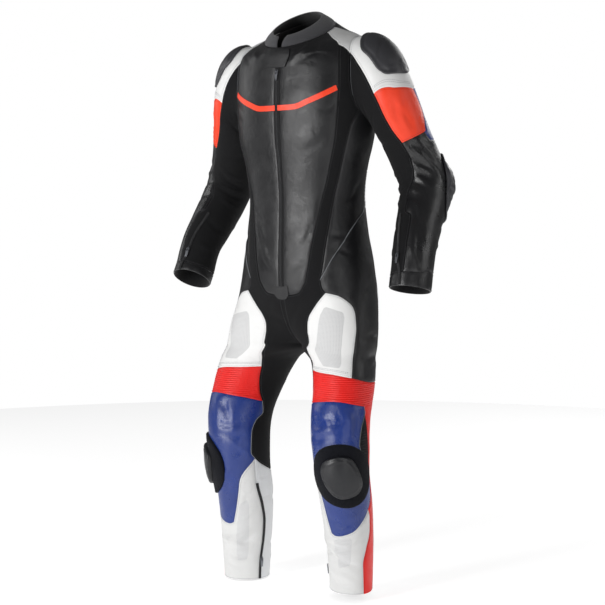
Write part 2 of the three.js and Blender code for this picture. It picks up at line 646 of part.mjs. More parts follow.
// Cuffs: a band round the wrist that is split under the zip
const cuffRows = [];
{
  const top = samples('arm', armSeams.sleeveFootUnder);
  const over = samples('arm', armSeams.forearmFoot).reverse().map(([u, v]) => [u + 1, v]);
  const low = samples('arm', [[1.2465, cuffStation], [0.25, cuffStation]]);
  cuffRows.push(...top, ...over.slice(1), [1.2465, 577.19], ...low);
}
for (const [label, side] of sides) {
  add(`cuff_${label}`, wall(sheetOf([{ kind: 'arm', side, rows: cuffRows }]), -clothThickness, 0), 'leather');
}

// Stand collar, open at the front
const collarRows = [
  ...samples('collar', [[0.022, 0], [1, 0]]),
  ...samples('collar', [[1, 0], [1, 1]], 17).slice(1),
  ...samples('collar', [[1, 1], [0.075, 1]]).slice(1),
  ...samples('collar', [[0.075, 1], [0.045, 0.8], [0.022, 0]], 17).slice(1, -1),
];
const collarSheet = sheetOf(sides.map(([, side]) => ({ kind: 'collar', side, rows: collarRows })), 20);
add('collar', wall(collarSheet, -3, 0), 'leather');

// A closed outline on a chart, rounded into a pad with a domed top
function dome(kind, side, rows, lift, edge, crown, spacing, centre, reach) {
  const sheet = sheetOf([{ kind, side, rows }], spacing);
  const middle = charts[kind].point(centre[0], centre[1], side);
  const high = (k) => {
    const t = Math.min(sheet.points[k].distanceTo(middle) / reach, 1);
    return lift + edge + (crown - edge) * (1 - t * t);
  };
  return wall(sheet, lift, high, 0);
}

// An oval on the chart, corners counted round
function oval(centre, halfU, halfV, count, power = 2) {
  const rows = [];
  for (let k = 0; k < count; k += 1) {
    const a = (2 * Math.PI * k) / count;
    const c = Math.cos(a);
    const s = Math.sin(a);
    rows.push([centre[0] + halfU * Math.sign(c) * Math.abs(c) ** (2 / power),
      centre[1] + halfV * Math.sign(s) * Math.abs(s) ** (2 / power)]);
  }
  return rows;
}

// Shoulder cups, elbow cups, knee pads with their sliding pucks
const shoulderCup = [[0.10, 22], [0.142, 32], [0.146, 60], [0.153, 86], [0.130, 103], [0.07, 106],
  [0.0, 108], [-0.08, 106], [-0.14, 98], [-0.16, 80], [-0.15, 55], [-0.10, 32], [-0.03, 19], [0.04, 18]];
const kneePad = { left: [0.336, 1104], right: [0.412, 1108], halfU: 0.2, halfV: 74 };
const puck = { halfU: 0.128, halfV: 50, thick: 13 };
const padThick = 6;
const padLift = 1.3;
const puckLift = 1.3;
for (const [label, side] of sides) {
  add(`shoulder_cup_${label}`, dome('arm', side, shoulderCup, 1.9, 2.5, 9, 12, [0, 68], 75), 'hard');
  add(`elbow_cup_${label}`,
    dome('arm', side, oval([-0.13, 352], 0.125, 64, 20, 2.6), 1.4, 4, 14, 14, [-0.13, 352], 70), 'hard');
  const centre = kneePad[label];
  add(`knee_pad_${label}`, dome('body', side, oval(centre, kneePad.halfU, kneePad.halfV, 28, 2.3),
    padLift, padThick, padThick, 15, centre, 90), 'pad');
  add(`knee_puck_${label}`, dome('body', side, oval(centre, puck.halfU, puck.halfV, 22, 2.5),
    padLift + padThick + puckLift, 5, puck.thick, 14, centre, 62), 'hard');
}

// Bands that lie on the panels: chest stripes and the zips of cuffs and calves
function band(kind, side, line, halfWidth, low, high, spacing) {
  const chart = charts[kind];
  const stations = samples(kind, line, spacing);
  const left = [];
  const right = [];
  stations.forEach((at, k) => {
    const a = stations[Math.max(k - 1, 0)];
    const b = stations[Math.min(k + 1, stations.length - 1)];
    const along = new THREE.Vector2((b[0] - a[0]) * chart.around, b[1] - a[1]).normalize();
    left.push([at[0] - (along.y * halfWidth) / chart.around, at[1] + along.x * halfWidth]);
    right.push([at[0] + (along.y * halfWidth) / chart.around, at[1] - along.x * halfWidth]);
  });
  return wall(sheetOf([{ kind, side, rows: [...left, ...right.reverse()] }], spacing), low, high, 0);
}

const stripeLine = [[0.0105, 247.5], [0.03, 247.5], [0.065, 247], [0.13, 237], [0.278, 211]];
for (const [label, side] of sides) {
  add(`chest_stripe_${label}`, band('body', side, stripeLine, 5.5, 0.5, 1.5, 14), 'orange');
}

// Storm flap over the top end of the front zip
const flapLeft = [[0, 12], [0.05, 18], [0.094, 27], [0.062, 90], [0.031, 150], [0, 149]];
const flapRight = [[0, 12], [0.09, 8], [0.170, 8], [0.11, 80], [0.05, 145], [0, 149]];
add('storm_flap', wall(sheetOf([
  { kind: 'body', side: 1, rows: flapLeft }, { kind: 'body', side: -1, rows: flapRight }], 12), 1.9, 3.7, 0), 'leather');

// Zip slider with a bridge, and the pull tab that hangs in it. Local axes: x across, y out, z up the zip
const slider = { width: 9, height: 12, depth: 3, bridgeWidth: 2, bridgeReach: 3.4, gap: 2.4 };
const tab = { width: 7.5, length: 22, thick: 1.5, bar: 1.8, holeWidth: 4.4, holeLength: 5 };

function frameAt(kind, u, v, side, height) {
  const out = normalAt(kind, u, v, side);
  const chart = charts[kind];
  const up = chart.point(u, v - 3, side).sub(chart.point(u, Math.min(v + 3, chart.high), side));
  up.addScaledVector(out, -up.dot(out)).normalize();
  const across = new THREE.Vector3().crossVectors(out, up);
  const origin = chart.point(u, v, side).addScaledVector(out, height);
  return { matrix: new THREE.Matrix4().makeBasis(across, out, up).setPosition(origin), across, origin, out, up };
}

function sliderSolid(matrix) {
  const body = new THREE.BoxGeometry(slider.width, slider.depth, slider.height);
  body.translate(0, slider.depth / 2 - 1, 0);
  const reach = slider.depth - 1;
  const profile = new THREE.Shape([[-0.6, 5], [reach + slider.bridgeReach, 3.8], [reach + slider.bridgeReach, -1.2],
    [-0.6, -2.4]].map(([y, z]) => new THREE.Vector2(y, z)));
  profile.holes.push(new THREE.Path([[reach, 3.4], [reach, -0.4], [reach + slider.gap, -0.4],
    [reach + slider.gap, 2.6]].map(([y, z]) => new THREE.Vector2(y, z))));
  const bridge = new THREE.ExtrudeGeometry(profile, { depth: slider.bridgeWidth, bevelEnabled: false });
  bridge.translate(0, 0, -slider.bridgeWidth / 2);
  bridge.applyMatrix4(new THREE.Matrix4().makeBasis(new THREE.Vector3(0, 1, 0), new THREE.Vector3(0, 0, 1),
    new THREE.Vector3(1, 0, 0)));
  const joined = toSolid(body).add(toSolid(bridge));
  return toSolid(toGeometry(joined).applyMatrix4(matrix));
}

function tabGeometry(matrix) {
  const half = tab.width / 2;
  const top = tab.bar / 2;
  const outlineShape = new THREE.Shape([[-half, top], [-half, top - 10], [-half + 1, top - tab.length],
    [half - 1, top - tab.length], [half, top - 10], [half, top]].map(([x, z]) => new THREE.Vector2(x, z)));
  const hole = tab.holeWidth / 2;
  outlineShape.holes.push(new THREE.Path([[-hole, top - tab.bar], [-hole, top - tab.bar - tab.holeLength],
    [hole, top - tab.bar - tab.holeLength], [hole, top - tab.bar]].map(([x, z]) => new THREE.Vector2(x, z))));
  const plate = new THREE.ExtrudeGeometry(outlineShape, { depth: tab.thick, bevelEnabled: false });
  plate.translate(0, 0, -tab.thick / 2);
  plate.rotateX(Math.PI / 2);
  const lift = slider.depth - 1 + slider.gap / 2;
  plate.translate(0, lift, 1.1);
  return plate.applyMatrix4(matrix);
}

export const pullPlaces = [];

function zipWithPull(name, geometry, place, side, pullName, colour = 'pad') {
  const { kind, u, v, height } = place;
  const frame = frameAt(kind, u, v, side, height);
  const joined = toSolid(geometry).add(sliderSolid(frame.matrix));
  add(name, toGeometry(joined), colour);
  add(pullName, tabGeometry(frame.matrix), 'metal');
  const lift = slider.depth - 1 + slider.gap / 2;
  const hinge = frame.origin.clone().addScaledVector(frame.out, lift).addScaledVector(frame.up, 1.1);
  pullPlaces.push({ pullName, hinge, across: frame.across, out: frame.out, up: frame.up });
}

const zipText = middlePanels.front_zip[0][1];
const zipSheet = sheetOf(sides.map(([, side]) => ({ kind: 'body', text: zipText, side })));
zipWithPull('front_zip', wall(zipSheet, -clothThickness, -0.3), { kind: 'body', u: 0, v: 166, height: 0 }, 1, 'front_pull');
for (const [label, side] of sides) {
  zipWithPull(`cuff_zip_${label}`,
    band('arm', side, [[0.309, 443], [0.288, 507], [0.275, 553], [0.252, 578], [0.246, 606]], 5, 0.6, 2.0, 16),
    { kind: 'arm', u: 0.279, v: 540, height: 2.0 }, side, `cuff_pull_${label}`);
  zipWithPull(`calf_zip_${label}`,
    band('body', side, [[0.050, 1150], [0.049, 1160], [0.025, 1204], [0.009, 1249], [0.013, 1294], [0.031, 1349],
      [0.0375, 1394]], 6, 0.6, 2.0, 16),
    { kind: 'body', u: 0.0285, v: 1343, height: 2.0 }, side, `calf_pull_${label}`);
}

export default suit;
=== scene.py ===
import math
import bpy
import numpy as np
from mathutils import Matrix, Vector
from mathutils.geometry import delaunay_2d_cdt
from mathutils.kdtree import KDTree


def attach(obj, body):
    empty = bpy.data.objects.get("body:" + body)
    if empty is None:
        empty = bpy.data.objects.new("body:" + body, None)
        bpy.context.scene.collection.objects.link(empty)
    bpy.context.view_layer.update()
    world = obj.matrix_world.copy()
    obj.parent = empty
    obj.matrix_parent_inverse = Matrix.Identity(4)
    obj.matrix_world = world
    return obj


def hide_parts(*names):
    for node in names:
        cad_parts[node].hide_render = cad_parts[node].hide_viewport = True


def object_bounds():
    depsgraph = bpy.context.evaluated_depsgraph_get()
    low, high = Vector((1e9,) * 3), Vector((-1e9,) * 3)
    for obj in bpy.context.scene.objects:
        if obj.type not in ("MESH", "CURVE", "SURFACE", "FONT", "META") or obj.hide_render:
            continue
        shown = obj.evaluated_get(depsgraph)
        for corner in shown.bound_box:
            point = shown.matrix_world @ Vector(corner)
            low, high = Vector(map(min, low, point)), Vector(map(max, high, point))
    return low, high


# Motorcycle race suit in its worn form. Charts, seams and creases are in millimetres, pieces in metres
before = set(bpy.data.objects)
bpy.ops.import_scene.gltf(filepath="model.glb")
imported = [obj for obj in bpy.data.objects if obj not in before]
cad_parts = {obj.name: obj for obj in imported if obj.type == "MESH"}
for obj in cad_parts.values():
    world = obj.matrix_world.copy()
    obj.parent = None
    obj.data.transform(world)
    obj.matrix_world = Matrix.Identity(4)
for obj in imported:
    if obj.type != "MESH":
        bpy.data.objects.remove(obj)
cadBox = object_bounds()
suitBody = "suit"

# camera first, at the angle of the product picture
view = {"azimuth": 36.0, "tilt": 3.35, "distance": 3.3, "focalPixels": 1325.0, "frame": 605, "axisPixel": 307.0,
        "drop": 0.470}


def makeCamera(v):
    a = math.radians(v["azimuth"])
    e = math.radians(v["tilt"])
    back = Vector((math.sin(a) * math.cos(e), -math.cos(a) * math.cos(e), math.sin(e)))
    right = Vector((math.cos(a), math.sin(a), 0))
    target = right * (-(v["axisPixel"] - v["frame"] / 2) * v["distance"] / v["focalPixels"])
    target += Vector((0, 0, -v["drop"] - v["distance"] * math.sin(e)))
    data = bpy.data.cameras.new("pictureCamera")
    data.sensor_width = 36
    data.lens = v["focalPixels"] / v["frame"] * 36
    data.clip_end = 60
    camera = bpy.data.objects.new("pictureCamera", data)
    camera.matrix_world = Matrix.Translation(target + back * v["distance"]) @ back.to_track_quat("Z", "Y").to_matrix().to_4x4()
    bpy.context.scene.collection.objects.link(camera)
    bpy.context.scene.camera = camera


makeCamera(view)

# the suit's form: girth rows down the trunk, a leg and a sleeve
cloth = {"thick": 1.8, "seamGap": 0.2, "grid": 6.5, "edgeStep": 4.0, "rollWidth": 2.6, "rollDepth": 1.1}
crotchStation = 810.0
riseStation = 600.0
hemStation = 1396.0
cuffStation = 608.0


def rows(names, *values):
    return dict(zip(names.split(), np.array(values, float).T))


trunk = rows("station z half front back centreY tiltFront tiltBack power",
             [0, -3, 88, 86, 86, -29, 0.50, 0.50, 2.0],
             [30, -9, 112, 97, 92, -21, 0.50, 0.30, 2.0],
             [70, -15, 142, 108, 102, -12, 0.52, 0.02, 2.1],
             [110, -32, 168, 116, 108, -5, 0.45, -0.12, 2.2],
             [150, -72, 182, 121, 112, -1, 0.22, -0.06, 2.3],
             [190, -120, 185, 124, 114, 0, 0.05, 0, 2.35],
             [230, -170, 186, 126, 116, 0, 0, 0, 2.4],
             [300, -250, 178, 124, 112, 0, 0, 0, 2.4],
             [380, -333, 160, 114, 104, 0, 0, 0, 2.3],
             [450, -405, 152, 110, 100, 2, 0, 0, 2.3],
             [530, -485, 160, 112, 106, 3, 0, 0, 2.3],
             [610, -565, 174, 114, 120, 3, 0, 0, 2.3],
             [690, -645, 184, 112, 126, 2, 0, 0, 2.3],
             [760, -715, 188, 108, 120, 0, 0, 0, 2.2],
             [810, -765, 190, 106, 112, 0, 0, 0, 2.2])

leg = rows("station z inner centreY half front back power skew",
           [600, -555, 0, 2, 88, 100, 108, 2.1, 0],
           [700, -655, 0, 2, 94, 100, 108, 2.1, 0.05],
           [760, -715, 0, 2, 97, 98, 104, 2.1, 0.10],
           [810, -765, 0, 0, 98, 94, 98, 2.1, 0.14],
           [850, -805, 34, -8, 81, 90, 92, 2.1, 0.17],
           [910, -865, 52, -28, 78, 84, 86, 2.1, 0.17],
           [980, -935, 68, -58, 74, 79, 78, 2.1, 0.13],
           [1040, -995, 79, -70, 71, 76, 73, 2.1, 0.10],
           [1100, -1055, 86, -68, 67, 73, 70, 2.1, 0.10],
           [1180, -1135, 91, -54, 64, 67, 70, 2.1, 0.10],
           [1260, -1216, 97, -46, 60, 61, 66, 2.1, 0.10],
           [1330, -1286, 104, -42, 56, 56, 60, 2.1, 0.12],
           [1396, -1351, 107, -40, 54, 54, 55, 2.0, 0.12])

rightLeg = rows("station inner wide drop",  # the right leg stands further out
                [600, 0, 0, 0], [700, 0, 6, 0], [760, 0, 11, 0], [810, 0, 12, 0], [850, 18, 8, 1], [910, 28, 2, 3],
                [980, 22, 0, 5], [1040, 9, 0, 7], [1100, 3, 0, 9], [1180, 0, 0, 11], [1396, 0, 0, 16])

sleeve = rows("station x y z outward forward",
              [0, 150, 2, -84, 72, 76], [60, 194, 4, -102, 72, 75], [120, 222, 14, -155, 66, 70],
              [200, 246, 42, -235, 61, 64], [270, 268, 67, -305, 59, 60], [330, 286, 80, -362, 61, 60],
              [380, 296, 66, -411, 59, 59], [450, 304, 29, -475, 54, 56], [510, 313, -4, -528, 50, 53],
              [560, 318, -22, -576, 49, 52], [608, 320, -34, -621, 49, 52])

rightSleeve = rows("station x y z",  # the right arm reaches a little further forward
                   [0, 0, 0, 0], [120, 0, 0, 0], [200, 4, -4, 2], [330, 14, -10, 2], [450, 16, -16, 4],
                   [560, 10, -17, 5], [608, 6, -25, 12])

armhole = {"station": 180, "up": 90, "down": 84, "front": 0.145, "back": 0.17}
collarTop = {"centreY": -40, "halfX": 58, "halfY": 61, "z": 20.3, "slope": 0.6, "bulge": 4}


def curveThrough(xs, ys, at):
    """monotone cubic through a column"""
    at = np.clip(at, xs[0], xs[-1])
    step = np.diff(xs)
    slope = np.diff(ys) / step
    tangent = np.empty_like(ys)
    tangent[0] = slope[0]
    tangent[-1] = slope[-1]
    a = slope[:-1]
    b = slope[1:]
    total = np.where(a + b == 0, 1, a + b)
    tangent[1:-1] = np.where(a * b > 0, 2 * a * b / total, 0)
    i = np.clip(np.searchsorted(xs, at, side="left") - 1, 0, len(xs) - 2)
    h = step[i]
    t = (at - xs[i]) / h
    return ((2 * t ** 3 - 3 * t ** 2 + 1) * ys[i] + (t ** 3 - 2 * t ** 2 + t) * h * tangent[i]
            + (3 * t ** 2 - 2 * t ** 3) * ys[i + 1] + (t ** 3 - t ** 2) * h * tangent[i + 1])


def oval(half, front, back, angle, power):
    c = np.cos(angle)
    s = np.sin(angle)
    e = 2 / power
    y = -np.sign(c) * np.abs(c) ** e
    return half * np.sign(s) * np.abs(s) ** e, np.where(c > 0, y * front, y * back)


def bodyPoint(u, s, side=1):
    u, s = np.broadcast_arrays(np.asarray(u, float), np.asarray(s, float))
    t = {k: curveThrough(trunk["station"], c, s) for k, c in trunk.items()}
    x, y = oval(t["half"], t["front"], t["back"], math.pi * u, t["power"])
    mean = (t["tiltBack"] + t["tiltFront"]) / 2
    turn = (t["tiltBack"] - t["tiltFront"]) / 2
    onTrunk = np.stack([x, y + t["centreY"], t["z"] + mean * y + turn * (np.sqrt(y * y + 900) - 30)], -1)
    g = {k: curveThrough(leg["station"], c, s) for k, c in leg.items()}
    r = {k: curveThrough(rightLeg["station"], c, s) * (side < 0) for k, c in rightLeg.items()}
    half = g["half"] + r["wide"]
    x, y = oval(half, g["front"], g["back"], 2 * math.pi * u - math.pi / 2, g["power"])
    x = x - y * g["skew"] * np.clip((s - 560) / 250, 0, 1) + g["inner"] + r["inner"] + half
    onLeg = np.stack([x, y + g["centreY"], g["z"] - r["drop"]], -1)
    w = np.clip((s - riseStation) / (crotchStation - riseStation), 0, 1)
    soft = w * w * (3 - 2 * w)
    rise = 1 - np.sqrt(np.maximum(1 - w ** 2.6, 0))
    middle = np.cos(math.pi * u) ** 4
    w = np.where(s >= crotchStation, 1, soft * (1 - middle) + rise * middle)[..., None]
    return (onTrunk * (1 - w) + onLeg * w) * np.array([side, 1, 1.0])


def armholeAt(u):
    c = np.cos(2 * math.pi * np.asarray(u, float))
    s = np.sin(2 * math.pi * np.asarray(u, float))
    where = 0.5 - np.where(s > 0, armhole["front"], armhole["back"]) * np.sign(s) * np.abs(s) ** 0.9
    return where, armhole["station"] - np.where(c > 0, armhole["up"], armhole["down"]) * np.sign(c) * np.abs(c) ** 0.9


def armPoint(u, s, side=1):
    u, s = np.broadcast_arrays(np.asarray(u, float), np.asarray(s, float))

    def centre(at):
        return np.stack([curveThrough(sleeve["station"], sleeve[k], at)
                         + curveThrough(rightSleeve["station"], rightSleeve[k], at) * (side < 0) for k in "xyz"], -1)

    cap = 110 + 95 * np.sin(math.pi * u) ** 2
    at = np.maximum(s, cap)
    along = centre(np.minimum(at + 30, cuffStation)) - centre(at - 30)
    along /= np.linalg.norm(along, axis=-1, keepdims=True)
    ahead = np.array([0.0, -1.0, 0.0])
    forward = ahead - (along @ ahead)[..., None] * along
    forward /= np.linalg.norm(forward, axis=-1, keepdims=True)
    outward = np.cross(forward, along)
    wide = curveThrough(sleeve["station"], sleeve["outward"], at) * np.cos(2 * math.pi * u)
    deep = curveThrough(sleeve["station"], sleeve["forward"], at) * np.sin(2 * math.pi * u)
    tube = centre(at) + outward * wide[..., None] + forward * deep[..., None]
    edge = bodyPoint(*armholeAt(u))
    t = np.clip(s / cap, 0, 1)[..., None]
    pull = (0.5 + 0.3 * np.cos(math.pi * u) ** 2)[..., None]
    knee = tube - along * pull * np.linalg.norm(tube - edge, axis=-1, keepdims=True)
    return (tube * t * t + knee * 2 * t * (1 - t) + edge * (1 - t) ** 2) * np.array([side, 1, 1.0])


def collarPoint(u, v, side=1):
    u, v = np.broadcast_arrays(np.asarray(u, float), np.asarray(v, float))
    low = bodyPoint(u, 0 * u) + np.array([0, 0, 0.45])
    y = collarTop["centreY"] - collarTop["halfY"] * np.cos(math.pi * u)
    high = np.stack([collarTop["halfX"] * np.sin(math.pi * u), y,
                     collarTop["z"] + collarTop["slope"] * (y - collarTop["centreY"])], -1)
    out = collarTop["bulge"] * 4 * v * (1 - v)
    point = low * (1 - v[..., None]) + high * v[..., None]
    point = point + np.stack([out * np.sin(math.pi * u), -out * np.cos(math.pi * u), 0 * out], -1)
    return point * np.array([side, 1, 1.0])


charts = {
    "body": {"point": bodyPoint, "around": 440.0, "down": 1.0, "flow": 0.56, "turn": -1, "high": hemStation, "dv": 1.5},
    "arm": {"point": armPoint, "around": 350.0, "down": 1.0, "flow": 0.56, "turn": 1, "high": cuffStation, "dv": 1.5},
    "collar": {"point": collarPoint, "around": 290.0, "down": 34.0, "flow": 34.0, "turn": 1, "high": 1.0, "dv": 0.02},
}


def outNormal(kind, u, v, side):
    c = charts[kind]
    u = np.asarray(u, float)
    v = np.asarray(v, float)
    centred = (kind == "body") & (v < crotchStation)
    u0 = np.where(centred, np.maximum(u - 0.002, 0), u - 0.002)
    u1 = np.where(centred, np.minimum(u + 0.002, 1), u + 0.002)
    across = c["point"](u1, v, side) - c["point"](u0, v, side)
    down = c["point"](u, np.minimum(v + c["dv"], c["high"]), side) - c["point"](u, np.maximum(v - c["dv"], 0), side)
    n = np.cross(across, down) * c["turn"] * side
    return n / np.maximum(np.linalg.norm(n, axis=-1, keepdims=True), 1e-9)


# seams, each a list of (round, down) on its chart
bodySeams = {
    "neckFront": [[0.025, 0], [0.466, 0]],
    "neckSide": [[0.466, 0], [0.60, 0]],
    "neckBack": [[0.60, 0], [1, 0]],
    "zipEdge": [[0.025, 0], [0.0195, 30], [0.012, 70], [0.0095, 110], [0.008, 150], [0.008, 686]],
    "zipMiddle": [[0, 0], [0, 30], [0, 70], [0, 110], [0, 150], [0, 686]],
    "zipTopEnd": [[0, 0], [0.025, 0]],
    "zipLowEnd": [[0, 686], [0.008, 686]],
    "shoulderFront": [[0.466, 0], [0.388, 42], [0.341, 92]],
    "shoulderStrip": [[0.341, 92], [0.371, 133.357]],
    "shoulderBack": [[0.60, 0], [0.625, 60], [0.651, 133.357]],
    "frontEdge": [[0.341, 92], [0.294, 147], [0.288, 212], [0.281, 255], [0.281, 297], [0.259, 395],
                  [0.206, 477], [0.138, 587], [0.109, 652]],
    "frontHem": [[0.109, 652], [0.069, 680], [0.008, 686]],
    "stripEdge": [[0.425, 254.588], [0.375, 290], [0.338, 395], [0.288, 477], [0.219, 587], [0.192, 645]],
    "stripFoot": [[0.192, 645], [0.206, 665], [0.230, 677]],
    "piping": [[0.192, 645], [0.253, 599], [0.325, 564], [0.422, 522], [0.52, 489], [0.62, 458]],
    "sideBack": [[0.605, 249.413], [0.62, 300], [0.62, 385]],
    "waistSide": [[0.62, 385], [0.62, 458]],
    "waistHip": [[0.62, 458], [0.62, 470]],
    "backMiddle": [[1, 0], [1, 385]],
    "waistTop": [[0.62, 385], [1, 385]],
    "waistMiddle": [[1, 385], [1, 470]],
    "waistLow": [[0.62, 470], [1, 470]],
    "seatMiddle": [[1, 470], [1, 600], [1, 700], [1, 760], [1, 790], [1, 810]],
    "seatUnder": [[1, 810], [0.93, 812], [0.86, 815]],
    "seatUnderInner": [[0, 810], [-0.07, 812], [-0.14, 815]],
    "innerBack": [[0.86, 815], [0.86, 1128]],
    "innerBackInner": [[-0.14, 815], [-0.14, 1128]],
    "hipBack": [[0.62, 470], [0.62, 896]],
    "thighIn": [[0.230, 677], [0.195, 697], [0.165, 718], [0.142, 736], [0.136, 752], [0.141, 772],
                [0.163, 800], [0.146, 838], [0.108, 866]],
    "thighOut": [[0.230, 677], [0.300, 683], [0.359, 697], [0.391, 711], [0.404, 730], [0.406, 755],
                 [0.391, 804], [0.369, 877]],
    "thighFoot": [[0.108, 866], [0.259, 869], [0.369, 877]],
    "bandTop": [[0.369, 877], [0.509, 892], [0.62, 896]],
    "bandIn": [[0.108, 866], [0.088, 899], [0.062, 929], [0.031, 951]],
    "bandFoot": [[0.031, 951], [0.150, 938], [0.288, 931], [0.462, 944]],
    "kneeSideFront": [[0.462, 944], [0.478, 961], [0.458, 996], [0.452, 1031], [0.478, 1059], [0.548, 1087]],
    "stripeFrontTop": [[0.462, 944], [0.505, 985], [0.538, 1035], [0.548, 1087]],
    "stripeKnee": [[0.548, 1087], [0.556, 1125], [0.540, 1165], [0.500, 1192]],
    "stripeShin": [[0.500, 1192], [0.513, 1209], [0.509, 1246], [0.466, 1286], [0.431, 1324], [0.434, 1396]],
    "stripeBackTop": [[0.62, 896], [0.62, 1128]],
    "stripeBackLow": [[0.62, 1128], [0.60, 1200], [0.585, 1396]],
    "stripeHem": [[0.434, 1396], [0.585, 1396]],
    "kneeIn": [[0.031, 951], [0.010, 978], [0.044, 996], [0.064, 1024], [0.069, 1072], [0.046, 1088]],
    "kneeShin": [[0.046, 1088], [0.147, 1139], [0.169, 1171], [0.190, 1208], [0.218, 1248]],
    "kneeFoot": [[0.218, 1248], [0.25, 1253], [0.36, 1242], [0.44, 1218], [0.500, 1192]],
    "crotchMiddle": [[0, 686], [0, 740], [0, 780], [0, 800], [0, 810]],
    "calfTopInner": [[0.046, 1088], [0.003, 1104], [-0.08, 1121], [-0.14, 1128]],
    "calfTopIn": [[1.046, 1088], [1.003, 1104], [0.92, 1121], [0.86, 1128]],
    "calfTopOut": [[0.86, 1128], [0.62, 1128]],
    "calfZip": [[0.046, 1088], [0.050, 1156], [0.025, 1204], [0.009, 1249], [0.013, 1294], [0.031, 1349],
                [0.038, 1396]],
    "calfZipBack": [[1.046, 1088], [1.050, 1156], [1.025, 1204], [1.009, 1249], [1.013, 1294], [1.031, 1349],
                    [1.038, 1396]],
    "calfHem": [[0.585, 1396], [1.038, 1396]],
    "shinHem": [[0.038, 1396], [0.434, 1396]],
}
armSeams = {
    "capFront": [[0.17, 0], [0.200, 29], [0.219, 70], [0.232, 110]],
    "capBack": [[-0.17, 0], [-0.22, 50], [-0.27, 128]],
    "capBackFar": [[0.83, 0], [0.78, 50], [0.73, 128]],
    "capFootFront": [[0.232, 110], [0.160, 118], [0.075, 126], [-0.03, 137]],
    "capFootBack": [[-0.03, 137], [-0.16, 134], [-0.27, 128]],
    "upperFront": [[0.232, 110], [0.234, 152], [0.225, 192], [0.203, 229]],
    "upperBack": [[-0.03, 137], [-0.06, 180], [0.015, 229]],
    "upperFoot": [[0.203, 229], [0.113, 229], [0.03, 229]],
    "backArmFoot": [[0.03, 229], [0.005, 250], [-0.10, 256], [-0.27, 256]],
    "backArmBack": [[-0.27, 128], [-0.275, 190], [-0.27, 256]],
    "backArmBackFar": [[0.73, 128], [0.725, 190], [0.73, 256]],
    "forearmFront": [[0.203, 229], [0.194, 267], [0.213, 311], [0.241, 357], [0.272, 395], [0.266, 437],
                     [0.213, 453], [0.206, 489], [0.213, 530], [0.222, 575]],
    "forearmBack": [[-0.27, 256], [-0.26, 400], [-0.25, 570]],
    "forearmBackFar": [[0.73, 256], [0.74, 400], [0.75, 570]],
    "forearmFoot": [[0.222, 575], [0.088, 573], [0, 563], [-0.12, 563], [-0.25, 570]],
    "sleeveFootFront": [[0.222, 575], [0.25, 577.5]],
    "sleeveFootUnder": [[0.25, 577.5], [0.40, 581], [0.60, 578], [0.75, 570]],
}

# Panels as they are cut: outline (a minus walks a seam backwards), finish, thread, and what is special.
# ribs: (pitch, depth, down to this station); inlay: perforated part of the panel
perforated = {"thighLeft": [[0.241, 709], [0.353, 724], [0.322, 854], [0.216, 851], [0.219, 734]],
              "thighRight": [[0.232, 727], [0.228, 848], [0.316, 848], [0.372, 742]],
              "shinLeft": [[0.231, 1262], [0.359, 1252], [0.331, 1322], [0.241, 1332]],
              "shinRight": [[0.112, 1190], [0.168, 1200], [0.20, 1262], [0.205, 1348], [0.122, 1342]]}
rightSeams = {"thighIn": [[0.230, 677], [0.195, 697], [0.165, 718], [0.140, 736], [0.131, 752], [0.138, 770],
                          [0.154, 789], [0.171, 812], [0.163, 827], [0.127, 846], [0.108, 866]]}

panels = {
    "front": {"on": [["body", "neckFront shoulderFront frontEdge frontHem -zipEdge"]], "finish": "blackLeather"},
    "side": {"on": [["body", "hole:0.42:0.60 sideBack waistSide -piping -stripEdge"]], "finish": "blackLeather"},
    "hip": {"on": [["body", "piping waistHip hipBack -bandTop -thighOut -stripFoot"]], "finish": "blackLeather"},
    "thigh": {"on": [["body", "thighOut -thighFoot -thighIn"]], "finish": "whiteLeather", "inlay": "thigh"},
    "knee_band": {"on": [["body", "thighFoot bandTop stripeBackTop stripeBackLow -stripeHem -stripeShin -stripeKnee"
                          " -stripeFrontTop -bandFoot -bandIn"]], "finish": "redLeather", "ribs": (4.8, 1.1, 946)},
    "knee": {"on": [["body", "bandFoot kneeSideFront stripeKnee -kneeFoot -kneeShin -kneeIn"]], "finish": "blueLeather"},
    "knee_side": {"on": [["body", "stripeFrontTop -kneeSideFront"]], "finish": "stretchCloth", "ribs": (6.5, 1.2, 1200)},
    "shin": {"on": [["body", "kneeShin kneeFoot stripeShin -shinHem -calfZip"]], "finish": "creasedWhite",
             "inlay": "shin"},
    "calf": {"on": [["body", "-calfTopOut -calfTopIn calfZipBack -calfHem -stripeBackLow"]], "finish": "paleLeather"},
    "seat": {"on": [["body", "waistLow seatMiddle seatUnder innerBack calfTopOut -stripeBackTop -hipBack"]],
             "finish": "blackLeather"},
    "shoulder": {"on": [["body", "neckSide shoulderBack hole:0.83:1.17 -shoulderStrip -shoulderFront"],
                        ["arm", "hole:-0.17:0.17 capFront capFootFront capFootBack -capBack"]],
                 "finish": "whiteLeather"},
    "upper_arm": {"on": [["arm", "-capFootFront upperFront upperFoot -upperBack"]], "finish": "orangeLeather"},
    "back_arm": {"on": [["arm", "-capFootBack upperBack backArmFoot -backArmBack"]], "finish": "blueLeather"},
    "sleeve_stretch": {"on": [["arm", "hole:0.17:0.42 hole:0.42:0.60 hole:0.60:0.83 capBackFar backArmBackFar"
                               " forearmBackFar -sleeveFootUnder -sleeveFootFront -forearmFront -upperFront"
                               " -capFront"]], "finish": "stretchCloth"},
    "forearm": {"on": [["arm", "-backArmFoot -upperFoot forearmFront forearmFoot -forearmBack"]],
                "finish": "glossLeather"},
}
